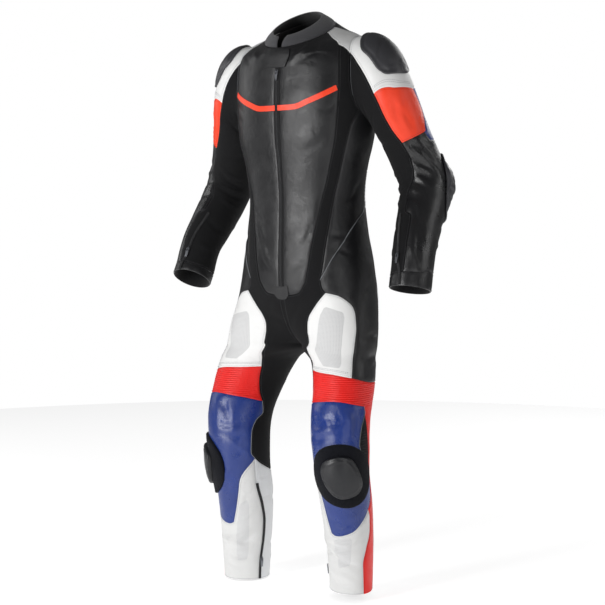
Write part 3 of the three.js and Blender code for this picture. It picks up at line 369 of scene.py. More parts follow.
middlePanels = {
    "back": {"on": [["body", "neckBack backMiddle -waistTop -sideBack hole:0.60:0.83 -shoulderBack"]],
             "finish": "blackLeather"},
    "waist_stretch": {"on": [["body", "waistTop waistMiddle -waistLow -waistHip -waistSide"]],
                      "finish": "stretchCloth", "ribs": (9.0, 2.2, 600)},
    "front_stretch": {"on": [["body", "shoulderStrip hole:0.17:0.42 stripEdge stripFoot thighIn bandIn kneeIn"
                              " calfTopInner -innerBackInner -seatUnderInner -crotchMiddle zipLowEnd -frontHem"
                              " -frontEdge"]], "finish": "stretchCloth"},
}

# Main creases: chart, side (0 both), points, width, depth in millimetres. A negative depth
# is a trough
creases = [
    ["body", 1, [[0.247, 8], [0.16, 60], [0.097, 95], [0.045, 140]], 13, 3.2],
    ["body", 1, [[0.30, 20], [0.22, 75], [0.13, 122]], 11, -2.4],
    ["body", 1, [[0.27, 116], [0.21, 90], [0.15, 92]], 12, 2.6],
    ["body", -1, [[0.25, 46], [0.19, 70], [0.13, 104]], 15, 2.8],
    ["body", -1, [[0.28, 96], [0.22, 108], [0.15, 134]], 14, -1.8],
    ["body", -1, [[0.335, 224], [0.26, 236], [0.19, 250]], 7, -2.4],
    ["body", -1, [[0.335, 262], [0.27, 262], [0.21, 272]], 8, -1.9],
    ["body", 1, [[0.33, 236], [0.27, 246], [0.20, 262]], 8, -2.0],
    ["body", 1, [[0.24, 300], [0.18, 330], [0.10, 345]], 16, -1.6],
    ["body", -1, [[0.21, 470], [0.14, 505], [0.08, 560]], 13, -2.8],
    ["body", -1, [[0.17, 520], [0.10, 560], [0.05, 612]], 10, 2.2],
    ["body", -1, [[0.12, 590], [0.08, 612], [0.03, 640]], 9, -2.6],
    ["body", 1, [[0.19, 500], [0.12, 560], [0.06, 590]], 14, -2.0],
    ["body", 1, [[0.14, 585], [0.09, 620], [0.03, 655]], 10, -1.8],
    ["body", 1, [[0.40, 532], [0.33, 540], [0.25, 536]], 8, -2.6],
    ["body", 1, [[0.41, 556], [0.35, 552], [0.27, 556]], 8, 2.2],
    ["body", 1, [[0.38, 584], [0.33, 576], [0.25, 571]], 9, -2.2],
    ["body", 1, [[0.50, 420], [0.44, 455], [0.38, 470]], 12, -2.4],
    ["body", -1, [[0.44, 530], [0.36, 545], [0.27, 548]], 10, -2.4],
    ["body", -1, [[0.09, 722], [0.05, 700], [0.02, 694]], 8, -2.2],
    ["body", -1, [[0.11, 742], [0.05, 740], [0.015, 752]], 10, -3.0],
    ["body", 1, [[0.08, 706], [0.05, 728], [0.016, 752]], 9, -2.6],
    ["body", 1, [[0.125, 739], [0.07, 748], [0.03, 770]], 9, 2.2],
    ["body", 0, [[0.02, 830], [0.10, 838], [0.13, 850]], 10, -2.0],
    ["body", 0, [[0.58, 640], [0.50, 665], [0.43, 700]], 16, -2.6],
    ["body", 0, [[0.56, 800], [0.50, 780], [0.42, 790]], 13, -2.0],
    ["body", 1, [[0.60, 860], [0.54, 842], [0.44, 850]], 12, 2.2],
    ["body", -1, [[0.255, 950], [0.20, 968], [0.165, 1000]], 11, -3.0],
    ["body", -1, [[0.20, 958], [0.17, 984], [0.158, 1020]], 9, 2.8],
    ["body", -1, [[0.26, 996], [0.21, 1008], [0.12, 1002]], 9, -2.8],
    ["body", -1, [[0.25, 1024], [0.17, 1034], [0.085, 1026]], 10, -2.6],
    ["body", -1, [[0.18, 1046], [0.13, 1056], [0.08, 1078]], 9, 2.4],
    ["body", -1, [[0.17, 1080], [0.14, 1066], [0.10, 1052]], 8, -2.2],
    ["body", -1, [[0.24, 1196], [0.20, 1188], [0.185, 1200]], 7, 2.2],
    ["body", -1, [[0.25, 1225], [0.22, 1212], [0.20, 1216]], 7, -2.0],
    ["body", 1, [[0.12, 996], [0.19, 1004], [0.27, 996], [0.34, 990]], 9, 3.0],
    ["body", 1, [[0.10, 1016], [0.18, 1024], [0.27, 1014]], 8, -3.0],
    ["body", 1, [[0.36, 955], [0.385, 975], [0.39, 1010]], 10, 2.8],
    ["body", 1, [[0.42, 960], [0.41, 990], [0.42, 1020]], 8, -2.4],
    ["body", 1, [[0.19, 960], [0.23, 975], [0.31, 966]], 11, -2.4],
    ["body", 1, [[0.23, 1196], [0.31, 1210], [0.40, 1200]], 7, 2.6],
    ["body", 1, [[0.21, 1212], [0.30, 1226], [0.42, 1212]], 6, -2.6],
    ["body", 1, [[0.24, 1234], [0.32, 1240], [0.40, 1226]], 6, 1.8],
    ["body", 0, [[0.10, 1236], [0.16, 1246], [0.24, 1272]], 9, -2.0],
    ["body", 0, [[0.22, 1290], [0.16, 1300], [0.08, 1296]], 8, -2.2],
    ["body", 0, [[0.12, 1318], [0.20, 1326], [0.28, 1344]], 8, 2.0],
    ["body", 0, [[0.30, 1350], [0.22, 1362], [0.10, 1360]], 7, -2.0],
    ["body", 1, [[0.44, 1256], [0.40, 1270], [0.33, 1276]], 9, -2.0],
    ["body", 1, [[0.42, 1330], [0.36, 1342], [0.28, 1348]], 8, 2.2],
    ["body", 0, [[1.02, 1180], [0.90, 1196], [0.76, 1188]], 10, -2.2],
    ["body", 0, [[0.98, 1300], [0.86, 1312], [0.70, 1302]], 9, -2.4],
    ["body", 0, [[0.66, 1345], [0.80, 1352], [0.96, 1340]], 8, 2.0],
    ["body", 0, [[0.66, 1040], [0.76, 1052], [0.86, 1040]], 11, -4.0],
    ["body", 0, [[0.64, 1072], [0.75, 1084], [0.88, 1070]], 10, -3.6],
    ["body", 0, [[0.68, 1012], [0.77, 1020], [0.85, 1008]], 10, 3.0],
    ["body", 1, [[0.70, 1102], [0.78, 1106], [0.86, 1100]], 9, -2.6],
    ["body", 0, [[0.70, 860], [0.80, 872], [0.93, 850]], 14, -3.2],
    ["body", 0, [[0.95, 800], [0.86, 830], [0.74, 838]], 13, -3.0],
    ["body", 0, [[0.72, 905], [0.82, 915], [0.92, 900]], 13, 2.4],
    ["body", 0, [[0.97, 500], [0.84, 512], [0.70, 500]], 13, -2.4],
    ["body", 1, [[0.66, 540], [0.76, 556], [0.88, 548]], 12, 2.2],
    ["body", -1, [[0.64, 552], [0.74, 540], [0.86, 552]], 13, 2.0],
    ["body", 1, [[0.66, 350], [0.78, 362], [0.92, 352]], 14, -2.4],
    ["body", -1, [[0.64, 336], [0.76, 352], [0.88, 340]], 12, -2.6],
    ["body", 0, [[0.70, 210], [0.76, 262], [0.84, 306]], 17, -2.4],
    ["body", 0, [[0.68, 120], [0.76, 140], [0.86, 128]], 18, -1.8],
    ["arm", 1, [[0.205, 234], [0.17, 252], [0.10, 290]], 8, 3.8],
    ["arm", 1, [[0.215, 250], [0.18, 272], [0.11, 312]], 7, -4.0],
    ["arm", 1, [[0.22, 272], [0.19, 290], [0.13, 322]], 8, 3.4],
    ["arm", 1, [[0.235, 288], [0.19, 314], [0.12, 352]], 8, -2.6],
    ["arm", 1, [[0.255, 314], [0.20, 336], [0.13, 368]], 9, 2.4],
    ["arm", 1, [[0.262, 346], [0.21, 356], [0.15, 378]], 8, -2.0],
    ["arm", 1, [[0.268, 374], [0.23, 380], [0.19, 392]], 7, 1.8],
    ["arm", 1, [[0.26, 398], [0.22, 406], [0.18, 420]], 7, -1.6],
    ["arm", 1, [[0.25, 424], [0.22, 436], [0.20, 456]], 8, 1.4],
    ["arm", 1, [[0.20, 470], [0.17, 500], [0.16, 540]], 8, 2.8],
    ["arm", 1, [[0.15, 480], [0.13, 515], [0.12, 552]], 8, -2.8],
    ["arm", 1, [[0.10, 250], [0.05, 262], [-0.02, 268]], 9, -2.8],
    ["arm", 1, [[0.19, 238], [0.13, 268], [0.07, 318], [0.04, 352]], 6, 3.4],
    ["arm", 1, [[0.16, 238], [0.10, 272], [0.045, 322]], 6, -3.2],
    ["arm", 1, [[0.12, 236], [0.07, 262], [0.03, 300]], 6, 2.8],
    ["arm", 1, [[0.225, 402], [0.17, 432], [0.13, 470]], 7, 2.2],
    ["arm", 1, [[0.20, 436], [0.14, 470], [0.08, 520]], 7, -2.2],
    ["arm", 1, [[0.19, 520], [0.15, 545], [0.11, 566]], 6, 2.6],
    ["arm", 0, [[0.14, 140], [0.17, 170], [0.16, 216]], 8, -2.6],
    ["arm", 0, [[0.11, 138], [0.13, 176], [0.14, 220]], 7, 2.2],
    ["body", 0, [[0.10, 1262], [0.18, 1282], [0.27, 1296], [0.36, 1290]], 9, 5.4],
    ["body", 0, [[0.08, 1278], [0.15, 1296], [0.24, 1312]], 9, -4.6],
    ["body", 1, [[0.20, 1262], [0.26, 1272], [0.34, 1268], [0.42, 1252]], 9, 5.2],
    ["body", 1, [[0.20, 1300], [0.28, 1318], [0.38, 1322]], 9, -5.6],
    ["body", 1, [[0.14, 1334], [0.22, 1346], [0.33, 1356]], 9, 4.8],
    ["body", 1, [[0.16, 1366], [0.24, 1374], [0.34, 1372]], 8, -4.2],
    ["body", -1, [[0.07, 1216], [0.12, 1230], [0.18, 1256]], 7, 2.6],
    ["body", -1, [[0.09, 1172], [0.12, 1186], [0.15, 1214]], 6, -2.2],
    ["body", -1, [[0.30, 1282], [0.24, 1300], [0.16, 1306]], 9, 4.8],
    ["body", -1, [[0.28, 1324], [0.20, 1338], [0.10, 1336]], 9, -5.0],
    ["body", 1, [[0.14, 950], [0.20, 958], [0.26, 976], [0.28, 1000]], 8, 2.6],
    ["body", 1, [[0.30, 948], [0.33, 974], [0.32, 1004]], 8, -2.4],
    ["body", -1, [[0.28, 946], [0.26, 974], [0.25, 1014]], 8, 3.0],
    ["body", -1, [[0.22, 944], [0.215, 966], [0.20, 992]], 7, -2.2],
    ["body", -1, [[0.19, 1112], [0.23, 1126], [0.26, 1146]], 7, 2.4],
    ["body", -1, [[0.20, 1140], [0.23, 1156], [0.26, 1176]], 7, -2.4],
    ["arm", 1, [[0.09, 238], [0.03, 246], [-0.06, 262]], 8, 2.4],
    ["arm", 0, [[0.28, 290], [0.36, 318], [0.44, 330]], 9, -4.0],
    ["arm", 0, [[0.26, 268], [0.35, 292], [0.46, 296]], 9, 3.0],
    ["arm", 0, [[0.30, 342], [0.38, 350], [0.48, 346]], 8, 2.8],
    ["arm", 0, [[0.29, 362], [0.40, 370], [0.52, 362]], 9, -3.8],
    ["arm", 0, [[0.34, 392], [0.42, 398], [0.50, 392]], 9, 2.4],
    ["arm", 1, [[0.26, 215], [0.36, 222], [0.46, 212]], 11, -2.8],
    ["arm", -1, [[0.27, 248], [0.35, 240], [0.44, 232]], 10, -2.8],
    ["arm", -1, [[0.22, 305], [0.24, 380], [0.247, 450]], 5, 1.8],
    ["arm", -1, [[0.33, 215], [0.38, 205], [0.46, 208]], 11, 2.4],
    ["arm", -1, [[0.20, 250], [0.14, 282], [0.06, 300]], 8, -3.2],
    ["arm", -1, [[0.21, 276], [0.15, 306], [0.08, 326]], 8, 3.0],
    ["arm", -1, [[0.23, 336], [0.17, 350], [0.09, 356]], 8, -3.0],
    ["arm", -1, [[0.25, 390], [0.18, 396], [0.10, 404]], 8, -2.4],
    ["arm", 0, [[0.16, 148], [0.12, 176], [0.10, 208]], 10, -2.2],
    ["arm", 0, [[0.20, 160], [0.17, 190], [0.17, 218]], 9, 1.8],
    ["arm", 0, [[0.06, 150], [0.05, 180], [0.07, 214]], 10, 1.8],
    ["arm", 0, [[0.34, 60], [0.42, 96], [0.50, 110]], 14, -3.4],
    ["arm", 0, [[0.62, 70], [0.56, 104], [0.50, 122]], 13, -3.2],
    ["arm", 0, [[0.30, 132], [0.38, 150], [0.48, 152]], 12, -2.4],
    ["arm", 0, [[0.80, 310], [0.72, 326], [0.64, 330]], 9, -2.6],
    ["arm", 0, [[0.78, 420], [0.70, 430], [0.60, 424]], 10, 2.2],
    ["arm", 0, [[0.32, 460], [0.42, 470], [0.54, 462]], 10, -2.4],
    ["arm", 0, [[0.34, 520], [0.44, 526], [0.56, 516]], 9, 2.0],
    ["arm", 0, [[-0.18, 420], [-0.10, 436], [-0.02, 450]], 9, -2.2],
    ["arm", 0, [[-0.20, 480], [-0.10, 492], [0.0, 488]], 9, 2.0],
]


def creaseHeight(kind, u, s, side):
    c = charts[kind]
    x = u * c["around"]
    y = s * c["down"]
    total = np.zeros_like(x)
    for chart, onSide, line, width, depth in creases:
        if chart != kind or onSide * side < 0:
            continue
        p = np.array(line, float) * [c["around"], c["down"]]
        for turn in ((0, 1, -1) if kind == "arm" else (0,)):
            q = p + [turn * c["around"], 0]
            length = np.concatenate([[0], np.cumsum(np.linalg.norm(np.diff(q, axis=0), axis=1))])
            best = np.full(x.shape, 1e9)
            place = np.zeros_like(x)
            for k in range(len(q) - 1):
                d = q[k + 1] - q[k]
                t = np.clip(((x - q[k, 0]) * d[0] + (y - q[k, 1]) * d[1]) / (d @ d), 0, 1)
                away = np.hypot(x - q[k, 0] - t * d[0], y - q[k, 1] - t * d[1])
                place = np.where(away < best, (length[k] + t * (length[k + 1] - length[k])) / length[-1], place)
                best = np.minimum(best, away)
            near = np.exp(-(best / (0.62 * width)) ** 2)
            total += depth * near * np.sin(math.pi * np.clip(0.06 + 0.88 * place, 0, 1)) ** 0.8
    if kind != "collar":  # leather never lies quite even, and both halves meet level in the middle
        calm = np.clip(np.minimum(x, c["around"] - x) / 30, 0, 1) if kind == "body" else 1.0
        total += 0.5 * calm * np.sin(x / 23 + 1.3 * np.sin(y / 41)) * np.sin(y / 31 + 0.8 * side + 1.1 * np.sin(x / 37))
        total += 0.16 * calm * np.sin(x / 9.1 + 2 * np.sin(y / 17)) * np.sin(y / 12.7 + side)
    return total


def sampled(kind, line, spacing):
    c = charts[kind]
    line = np.array(line, float)
    real = np.hypot(np.diff(line[:, 0]) * c["around"], np.diff(line[:, 1]) * c["down"])
    length = np.hypot(np.diff(line[:, 0]) * c["around"], np.diff(line[:, 1]) * c["flow"])
    length = np.concatenate([[0], np.cumsum(length)])
    at = np.linspace(0, length[-1], max(1, round(real.sum() / spacing)) + 1)
    return np.stack([curveThrough(length, line[:, 0], at), curveThrough(length, line[:, 1], at)], -1)


def outlineOf(kind, text, spacing, side=1):
    seams = armSeams if kind == "arm" else bodySeams
    if side < 0:
        seams = {**seams, **rightSeams}
    parts = []
    for word in text.split():
        if word.startswith("hole:"):
            low, high = (float(v) for v in word.split(":")[1:])
            u = np.linspace(low, high, max(2, round(abs(high - low) * 400 / spacing) + 1))
            line = np.stack([u, 0 * u], -1) if kind == "arm" else np.stack(armholeAt(u), -1)
        else:
            line = sampled(kind, seams[word.strip("-")], spacing)
            if word.startswith("-"):
                line = line[::-1]
        parts.append(line[:-1])
    return np.concatenate(parts)


def inside(points, polygon):
    x, y = points[:, 0, None], points[:, 1, None]
    a = polygon
    b = np.roll(polygon, -1, axis=0)
    crosses = (a[:, 1] > y) != (b[:, 1] > y)
    rise = np.where(b[:, 1] == a[:, 1], 1e-9, b[:, 1] - a[:, 1])
    return (crosses & (x < (b[:, 0] - a[:, 0]) * (y - a[:, 1]) / rise + a[:, 0])).sum(1) % 2 == 1


def edgeDistance(points, polygon):
    best = np.full(len(points), 1e9)
    a = polygon
    b = np.roll(polygon, -1, axis=0)
    for p, q in zip(a, b):
        d = q - p
        t = np.clip(((points - p) @ d) / max(d @ d, 1e-9), 0, 1)
        best = np.minimum(best, np.linalg.norm(points - p - t[:, None] * d, axis=1))
    return best


def insetPoints(polygon, amount):
    along = np.roll(polygon, -1, axis=0) - np.roll(polygon, 1, axis=0)
    along /= np.maximum(np.linalg.norm(along, axis=1, keepdims=True), 1e-9)
    area = np.sum(polygon[:, 0] * np.roll(polygon[:, 1], -1) - np.roll(polygon[:, 0], -1) * polygon[:, 1])
    inward = np.stack([-along[:, 1], along[:, 0]], -1) * np.sign(area)
    return polygon + inward * amount


def flatMesh(outline, scale, grid, stretch=1.0, insets=(1.3, 3.0), inlay=None):
    """triangles of a cut piece: rows along its edge, then an even grid"""
    polygon = outline * scale
    points = []
    for amount in insets:
        p = insetPoints(polygon, amount)
        points.append(p[inside(p, polygon) & (edgeDistance(p, polygon) > amount * 0.9)])
    low = polygon.min(0)
    high = polygon.max(0)
    gridY = grid / stretch
    ys = np.arange(low[1] + gridY / 2, high[1], gridY * 0.866)
    p = np.concatenate([np.stack([np.arange(low[0] + (grid / 2 if k % 2 else 0), high[0], grid),
                                  np.full(len(np.arange(low[0] + (grid / 2 if k % 2 else 0), high[0], grid)), y)], -1)
                        for k, y in enumerate(ys)])
    p = p[inside(p, polygon)]
    p = p[edgeDistance(p, polygon) > (insets[-1] if insets else 0) + min(grid, gridY * 1.6) * 0.55]
    points.append(p)
    inner = np.concatenate(points)
    if inlay is not None:
        border = inlay * scale
        inner = inner[edgeDistance(inner, border) > 1.6]
    verts = np.concatenate([polygon, inner] + ([border] if inlay is not None else []))
    flat = verts * [1, stretch]
    n = len(polygon)
    edges = []
    if inlay is not None:
        first = len(verts) - len(border)
        edges = [(first + k, first + (k + 1) % len(border)) for k in range(len(border))]
    out = delaunay_2d_cdt([Vector(v) for v in flat], edges, [list(range(n))], 1, 1e-6)
    verts = np.array([[v[0], v[1] / stretch] for v in out[0]])
    triangles = np.array([f for f in out[2] if len(f) == 3])
    return verts / scale, triangles


def newObject(name, verts, faces, materials, faceSlots=None, uv=None, sharp=None):
    mesh = bpy.data.meshes.new(name)
    mesh.from_pydata([tuple(v) for v in np.asarray(verts) / 1000], [], [tuple(int(i) for i in f) for f in faces])
    for m in materials:
        mesh.materials.append(m)
    mesh.polygons.foreach_set("use_smooth", [True] * len(mesh.polygons))
    if faceSlots is not None:
        mesh.polygons.foreach_set("material_index", np.asarray(faceSlots, dtype=np.int32))
    if uv is not None:
        layer = mesh.uv_layers.new(name="cutPattern")
        loops = np.empty(len(mesh.loops), dtype=np.int32)
        mesh.loops.foreach_get("vertex_index", loops)
        layer.data.foreach_set("uv", (np.asarray(uv)[loops] / 1000).ravel())
    if sharp is not None:
        flags = [tuple(sorted(e.vertices)) in sharp for e in mesh.edges]
        mesh.edges.foreach_set("use_edge_sharp", flags)
    mesh.validate()
    mesh.update()
    obj = bpy.data.objects.new(name, mesh)
    bpy.context.scene.collection.objects.link(obj)
    return obj


def weldTable(points, dist=0.02):
    tree = KDTree(len(points))
    for k, p in enumerate(points):
        tree.insert(p, k)
    tree.balance()
    target = np.arange(len(points))
    for k, p in enumerate(points):
        if target[k] == k:
            for _, other, _ in tree.find_range(p, dist):
                if other > k:
                    target[other] = k
    return target


def sheetData(pieces, grid, stretch=1.0, inlays=None, insets=(1.3, 3.0)):
    """pieces of one panel on their charts, joined where they touch"""
    verts, normals, chart, heights, tris, marks = [], [], [], [], [], []
    count = 0
    for kind, outline, side in pieces:
        c = charts[kind]
        scale = np.array([c["around"], c["down"]])
        inlay = inlays.get(side) if inlays else None
        at, triangles = flatMesh(outline, scale, grid, stretch, insets, inlay)
        point = c["point"](at[:, 0], at[:, 1], side)
        normal = outNormal(kind, at[:, 0], at[:, 1], side)
        corner = point[triangles]
        faceNormal = np.cross(corner[:, 1] - corner[:, 0], corner[:, 2] - corner[:, 0])
        wrong = np.einsum("ij,ij->i", faceNormal, normal[triangles].mean(1)) < 0
        triangles[wrong] = triangles[wrong][:, [0, 2, 1]]
        if inlay is not None:
            centre = (at * scale)[triangles].mean(1)
            marks.append(inside(centre, inlay * scale))
        else:
            marks.append(np.zeros(len(triangles), bool))
        if kind != "arm":
            middle = np.abs(point[:, 0]) < 0.01
            normal[middle, 0] = 0
        verts.append(point)
        normals.append(normal)
        chart.append(at * scale)
        heights.append(creaseHeight(kind, at[:, 0], at[:, 1], side))
        tris.append(triangles + count)
        count += len(point)
    verts = np.concatenate(verts)
    normals = np.concatenate(normals)
    chart = np.concatenate(chart)
    heights = np.concatenate(heights)
    tris = np.concatenate(tris)
    marks = np.concatenate(marks)
    if len(pieces) > 1:
        target = weldTable(verts)
        sums = np.zeros_like(normals)
        np.add.at(sums, target, normals)
        normals = sums[target]
        heights = heights[target]
        tris = target[tris]
        keep = (tris[:, 0] != tris[:, 1]) & (tris[:, 1] != tris[:, 2]) & (tris[:, 2] != tris[:, 0])
        tris = tris[keep]
        marks = marks[keep]
        used, flat = np.unique(tris, return_inverse=True)
        tris = flat.reshape(-1, 3)
        verts, normals, chart, heights = verts[used], normals[used], chart[used], heights[used]
    normals /= np.maximum(np.linalg.norm(normals, axis=1, keepdims=True), 1e-9)
    return {"verts": verts, "normals": normals, "chart": chart, "heights": heights, "tris": tris, "marks": marks}


def borderOf(tris):
    directed = {}
    for t in tris:
        for k in range(3):
            directed[(int(t[k]), int(t[(k + 1) % 3]))] = True
    return [e for e in directed if (e[1], e[0]) not in directed]


def shell(name, data, top, low, materials, gap=None, roll=True, slots=None, shape=None):
    """closed thin shell: outer face at the sheet plus top, inner face at low"""
    gap = cloth["seamGap"] if gap is None else gap
    v, n, tris = data["verts"], data["normals"], data["tris"]
    border = borderOf(tris)
    edge = sorted({k for e in border for k in e})
    tree = KDTree(len(edge))
    for k, i in enumerate(edge):
        tree.insert(v[i], k)
    tree.balance()
    away = np.array([tree.find(p)[2] for p in v])
    inward = np.zeros_like(v)
    for a, b in border:
        d = np.cross(n[a] + n[b], v[b] - v[a])
        d /= max(np.linalg.norm(d), 1e-9)
        inward[a] += d
        inward[b] += d
    size = np.linalg.norm(inward, axis=1, keepdims=True)
    base = v + np.where(size > 1e-6, inward / np.maximum(size, 1e-9), 0) * gap
    height = data["heights"].copy()
    if roll:
        height = height * np.clip(away / 9, 0.25, 1) - cloth["rollDepth"] * np.exp(-(away / cloth["rollWidth"]) ** 2)
    up = top + height if shape is None else top + height + shape(data, away)
    outer = base + n * np.asarray(up).reshape(-1, 1)
    under = low + np.minimum(height, 0) * 0.9 if shape is None else np.full(len(v), low)
    inner = base + n * np.minimum(under, up - 0.5).reshape(-1, 1)
    count = len(v)
    faces = [tuple(t) for t in tris] + [(t[0] + count, t[2] + count, t[1] + count) for t in tris]
    slot = list(np.where(data["marks"], 2, 0) if slots is None else slots) + [1] * len(tris)
    for a, b in border:
        faces.append((b, a, a + count, b + count))
        slot.append(0)
    sharp = {tuple(sorted(e)) for e in border} | {tuple(sorted((a + count, b + count))) for a, b in border}
    uv = np.concatenate([data["chart"], data["chart"]])
    obj = newObject(name, np.concatenate([outer, inner]), faces, materials, slot, uv, sharp)
    corner = v[tris]
    obj["areaM2"] = float(np.linalg.norm(np.cross(corner[:, 1] - corner[:, 0], corner[:, 2] - corner[:, 0]), axis=1).sum() / 2e6)
    return obj


# materials
def linear(hexColour):
    parts = [int(hexColour[k:k + 2], 16) / 255 for k in (1, 3, 5)]
    return tuple(p / 12.92 if p <= 0.04045 else ((p + 0.055) / 1.055) ** 2.4 for p in parts) + (1.0,)


def addNode(tree, kind, settings=None, links=None):
    """one node with its settings and its links; a socket is named or numbered"""
    node = tree.nodes.new(kind)
    for key, value in (settings or {}).items():
        if isinstance(key, str) and hasattr(node, key):
            setattr(node, key, value)
        else:
            node.inputs[key].default_value = value
    for key, source in (links or {}).items():
        tree.links.new(source, node.inputs[key])
    return node


def newMaterial(name):
    material = bpy.data.materials.new(name)
    material.use_nodes = True
    material.node_tree.nodes.clear()
    return material, material.node_tree


def finish(tree, colour, roughness, normal, **values):
    shader = addNode(tree, "ShaderNodeBsdfPrincipled", values, {"Base Color": colour, "Roughness": roughness, "Normal": normal})
    addNode(tree, "ShaderNodeOutputMaterial", links={"Surface": shader.outputs[0]})


def leather(name, light, dark, rough, grain=1.3, bump=0.35, sheen=0.0, shine=0.45, wrinkle=1.0, holes=None):
    """drum-dyed cowhide with an embossed pebble grain: a satin face, creases that catch the light"""
    material, tree = newMaterial(name)
    place = addNode(tree, "ShaderNodeTexCoord").outputs["Object"]
    pebble = addNode(tree, "ShaderNodeTexVoronoi", {"feature": "SMOOTH_F1", "Scale": 1000 / grain, "Smoothness": 0.35}, {"Vector": place})
    fine = addNode(tree, "ShaderNodeTexNoise", {"Scale": 900.0, "Detail": 3.0, "Roughness": 0.6}, {"Vector": place})
    broad = addNode(tree, "ShaderNodeTexNoise", {"Scale": 26.0, "Detail": 3.0, "Roughness": 0.5, "Distortion": 0.2}, {"Vector": place})
    wear = addNode(tree, "ShaderNodeTexNoise", {"Scale": 7.0, "Detail": 3.0}, {"Vector": place})
    tint = addNode(tree, "ShaderNodeMix", {"data_type": "RGBA", 6: linear(dark), 7: linear(light)}, {0: wear.outputs["Fac"]})
    height = addNode(tree, "ShaderNodeMath", {"operation": "MULTIPLY_ADD", 1: 0.45}, {0: fine.outputs["Fac"], 2: pebble.outputs["Distance"]})
    height = addNode(tree, "ShaderNodeMath", {"operation": "MULTIPLY_ADD", 1: 1.4}, {0: broad.outputs["Fac"], 2: height.outputs[0]})
    fold = addNode(tree, "ShaderNodeTexNoise", {"Scale": 38.0, "Detail": 1.0, "Distortion": 0.5}, {"Vector": place})
    height = addNode(tree, "ShaderNodeMath", {"operation": "MULTIPLY_ADD", 1: 5.0 * wrinkle}, {0: fold.outputs["Fac"], 2: height.outputs[0]})
    colour = tint.outputs[2]
    depth = height.outputs[0]
    if holes:  # punched air holes, drawn 4 mm apart so that they show
        flat = addNode(tree, "ShaderNodeUVMap", {"uv_map": "cutPattern"})
        dots = addNode(tree, "ShaderNodeTexVoronoi", {"Scale": 1000 / holes["pitch"], "Randomness": 0.0}, {"Vector": flat.outputs[0]})
        disc = addNode(tree, "ShaderNodeMapRange", {1: holes["size"], 2: holes["size"] + 0.08, 3: 1.0, 4: 0.0}, {0: dots.outputs["Distance"]})
        mixed = addNode(tree, "ShaderNodeMix", {"data_type": "RGBA", 7: linear(holes["hex"])}, {0: disc.outputs[0], 6: colour})
        colour = mixed.outputs[2]
        depth = addNode(tree, "ShaderNodeMath", {"operation": "MULTIPLY_ADD", 1: -3.0}, {0: disc.outputs[0], 2: depth}).outputs[0]
    relief = addNode(tree, "ShaderNodeBump", {"Strength": bump, "Distance": 0.0006}, {"Height": depth})
    gloss = addNode(tree, "ShaderNodeMapRange", {1: 0.3, 2: 0.75, 3: rough - 0.07, 4: rough + 0.1}, {0: broad.outputs["Fac"]})
    finish(tree, colour, gloss.outputs[0], relief.outputs[0], **{"Specular IOR Level": shine, "Sheen Weight": sheen})
    return material


def wovenCloth(name, light, dark, pitch, rough=0.85, bump=0.5, sheen=0.25):
    """warp-knit nylon: matte, with a fine rib that softens every highlight"""
    material, tree = newMaterial(name)
    flat = addNode(tree, "ShaderNodeUVMap", {"uv_map": "cutPattern"})
    place = addNode(tree, "ShaderNodeTexCoord").outputs["Object"]
    warp = addNode(tree, "ShaderNodeTexWave", {"bands_direction": "X", "Scale": 314.0 / pitch, "Distortion": 0.6, "Detail": 1.0}, {"Vector": flat.outputs[0]})
    weft = addNode(tree, "ShaderNodeTexWave", {"bands_direction": "Y", "Scale": 314.0 / pitch, "Distortion": 0.6, "Detail": 1.0}, {"Vector": flat.outputs[0]})
    weave = addNode(tree, "ShaderNodeMath", {"operation": "MULTIPLY"}, {0: warp.outputs["Fac"], 1: weft.outputs["Fac"]})
    cloud = addNode(tree, "ShaderNodeTexNoise", {"Scale": 14.0, "Detail": 4.0}, {"Vector": place})
    share = addNode(tree, "ShaderNodeMath", {"operation": "MULTIPLY_ADD", 1: 0.5}, {0: weave.outputs[0], 2: cloud.outputs["Fac"]})
    tint = addNode(tree, "ShaderNodeMix", {"data_type": "RGBA", 6: linear(dark), 7: linear(light)}, {0: share.outputs[0]})
    relief = addNode(tree, "ShaderNodeBump", {"Strength": bump, "Distance": 0.0005}, {"Height": weave.outputs[0]})
    gloss = addNode(tree, "ShaderNodeMapRange", {1: 0.3, 2: 0.7, 3: rough - 0.05, 4: rough + 0.05}, {0: cloud.outputs["Fac"]})
    finish(tree, tint.outputs[2], gloss.outputs[0], relief.outputs[0], **{"Specular IOR Level": 0.22, "Sheen Weight": sheen, "Sheen Roughness": 0.5})
    return material


def moulded(name, light, dark, rough, grain=2.0, bump=0.2, metallic=0.0):
    """moulded shell or cast slider: low sheen with a faint spark-eroded texture, and a painted highlight that lightens
    the convex edges
    """
    material, tree = newMaterial(name)
    place = addNode(tree, "ShaderNodeTexCoord").outputs["Object"]
    grit = addNode(tree, "ShaderNodeTexNoise", {"Scale": 1000 / grain, "Detail": 4.0}, {"Vector": place})
    cloud = addNode(tree, "ShaderNodeTexNoise", {"Scale": 30.0, "Detail": 3.0}, {"Vector": place})
    surfaceCurvature = addNode(tree, "ShaderNodeNewGeometry")
    # painted highlight: where pointiness is high, on convex edges, the colour is pushed towards the light tone
    paintedEdgeHighlight = addNode(tree, "ShaderNodeMapRange", {1: 0.5, 2: 0.62, 3: 0.0, 4: 0.5}, {0: surfaceCurvature.outputs["Pointiness"]})
    share = addNode(tree, "ShaderNodeMath", {"operation": "MULTIPLY_ADD", 1: 0.5, "use_clamp": True}, {0: cloud.outputs["Fac"], 2: paintedEdgeHighlight.outputs[0]})
    tint = addNode(tree, "ShaderNodeMix", {"data_type": "RGBA", 6: linear(dark), 7: linear(light)}, {0: share.outputs[0]})
    relief = addNode(tree, "ShaderNodeBump", {"Strength": bump, "Distance": 0.0004}, {"Height": grit.outputs["Fac"]})
    gloss = addNode(tree, "ShaderNodeMapRange", {1: 0.3, 2: 0.7, 3: rough - 0.05, 4: rough + 0.08}, {0: cloud.outputs["Fac"]})
    finish(tree, tint.outputs[2], gloss.outputs[0], relief.outputs[0], **{"Metallic": metallic})
    return material


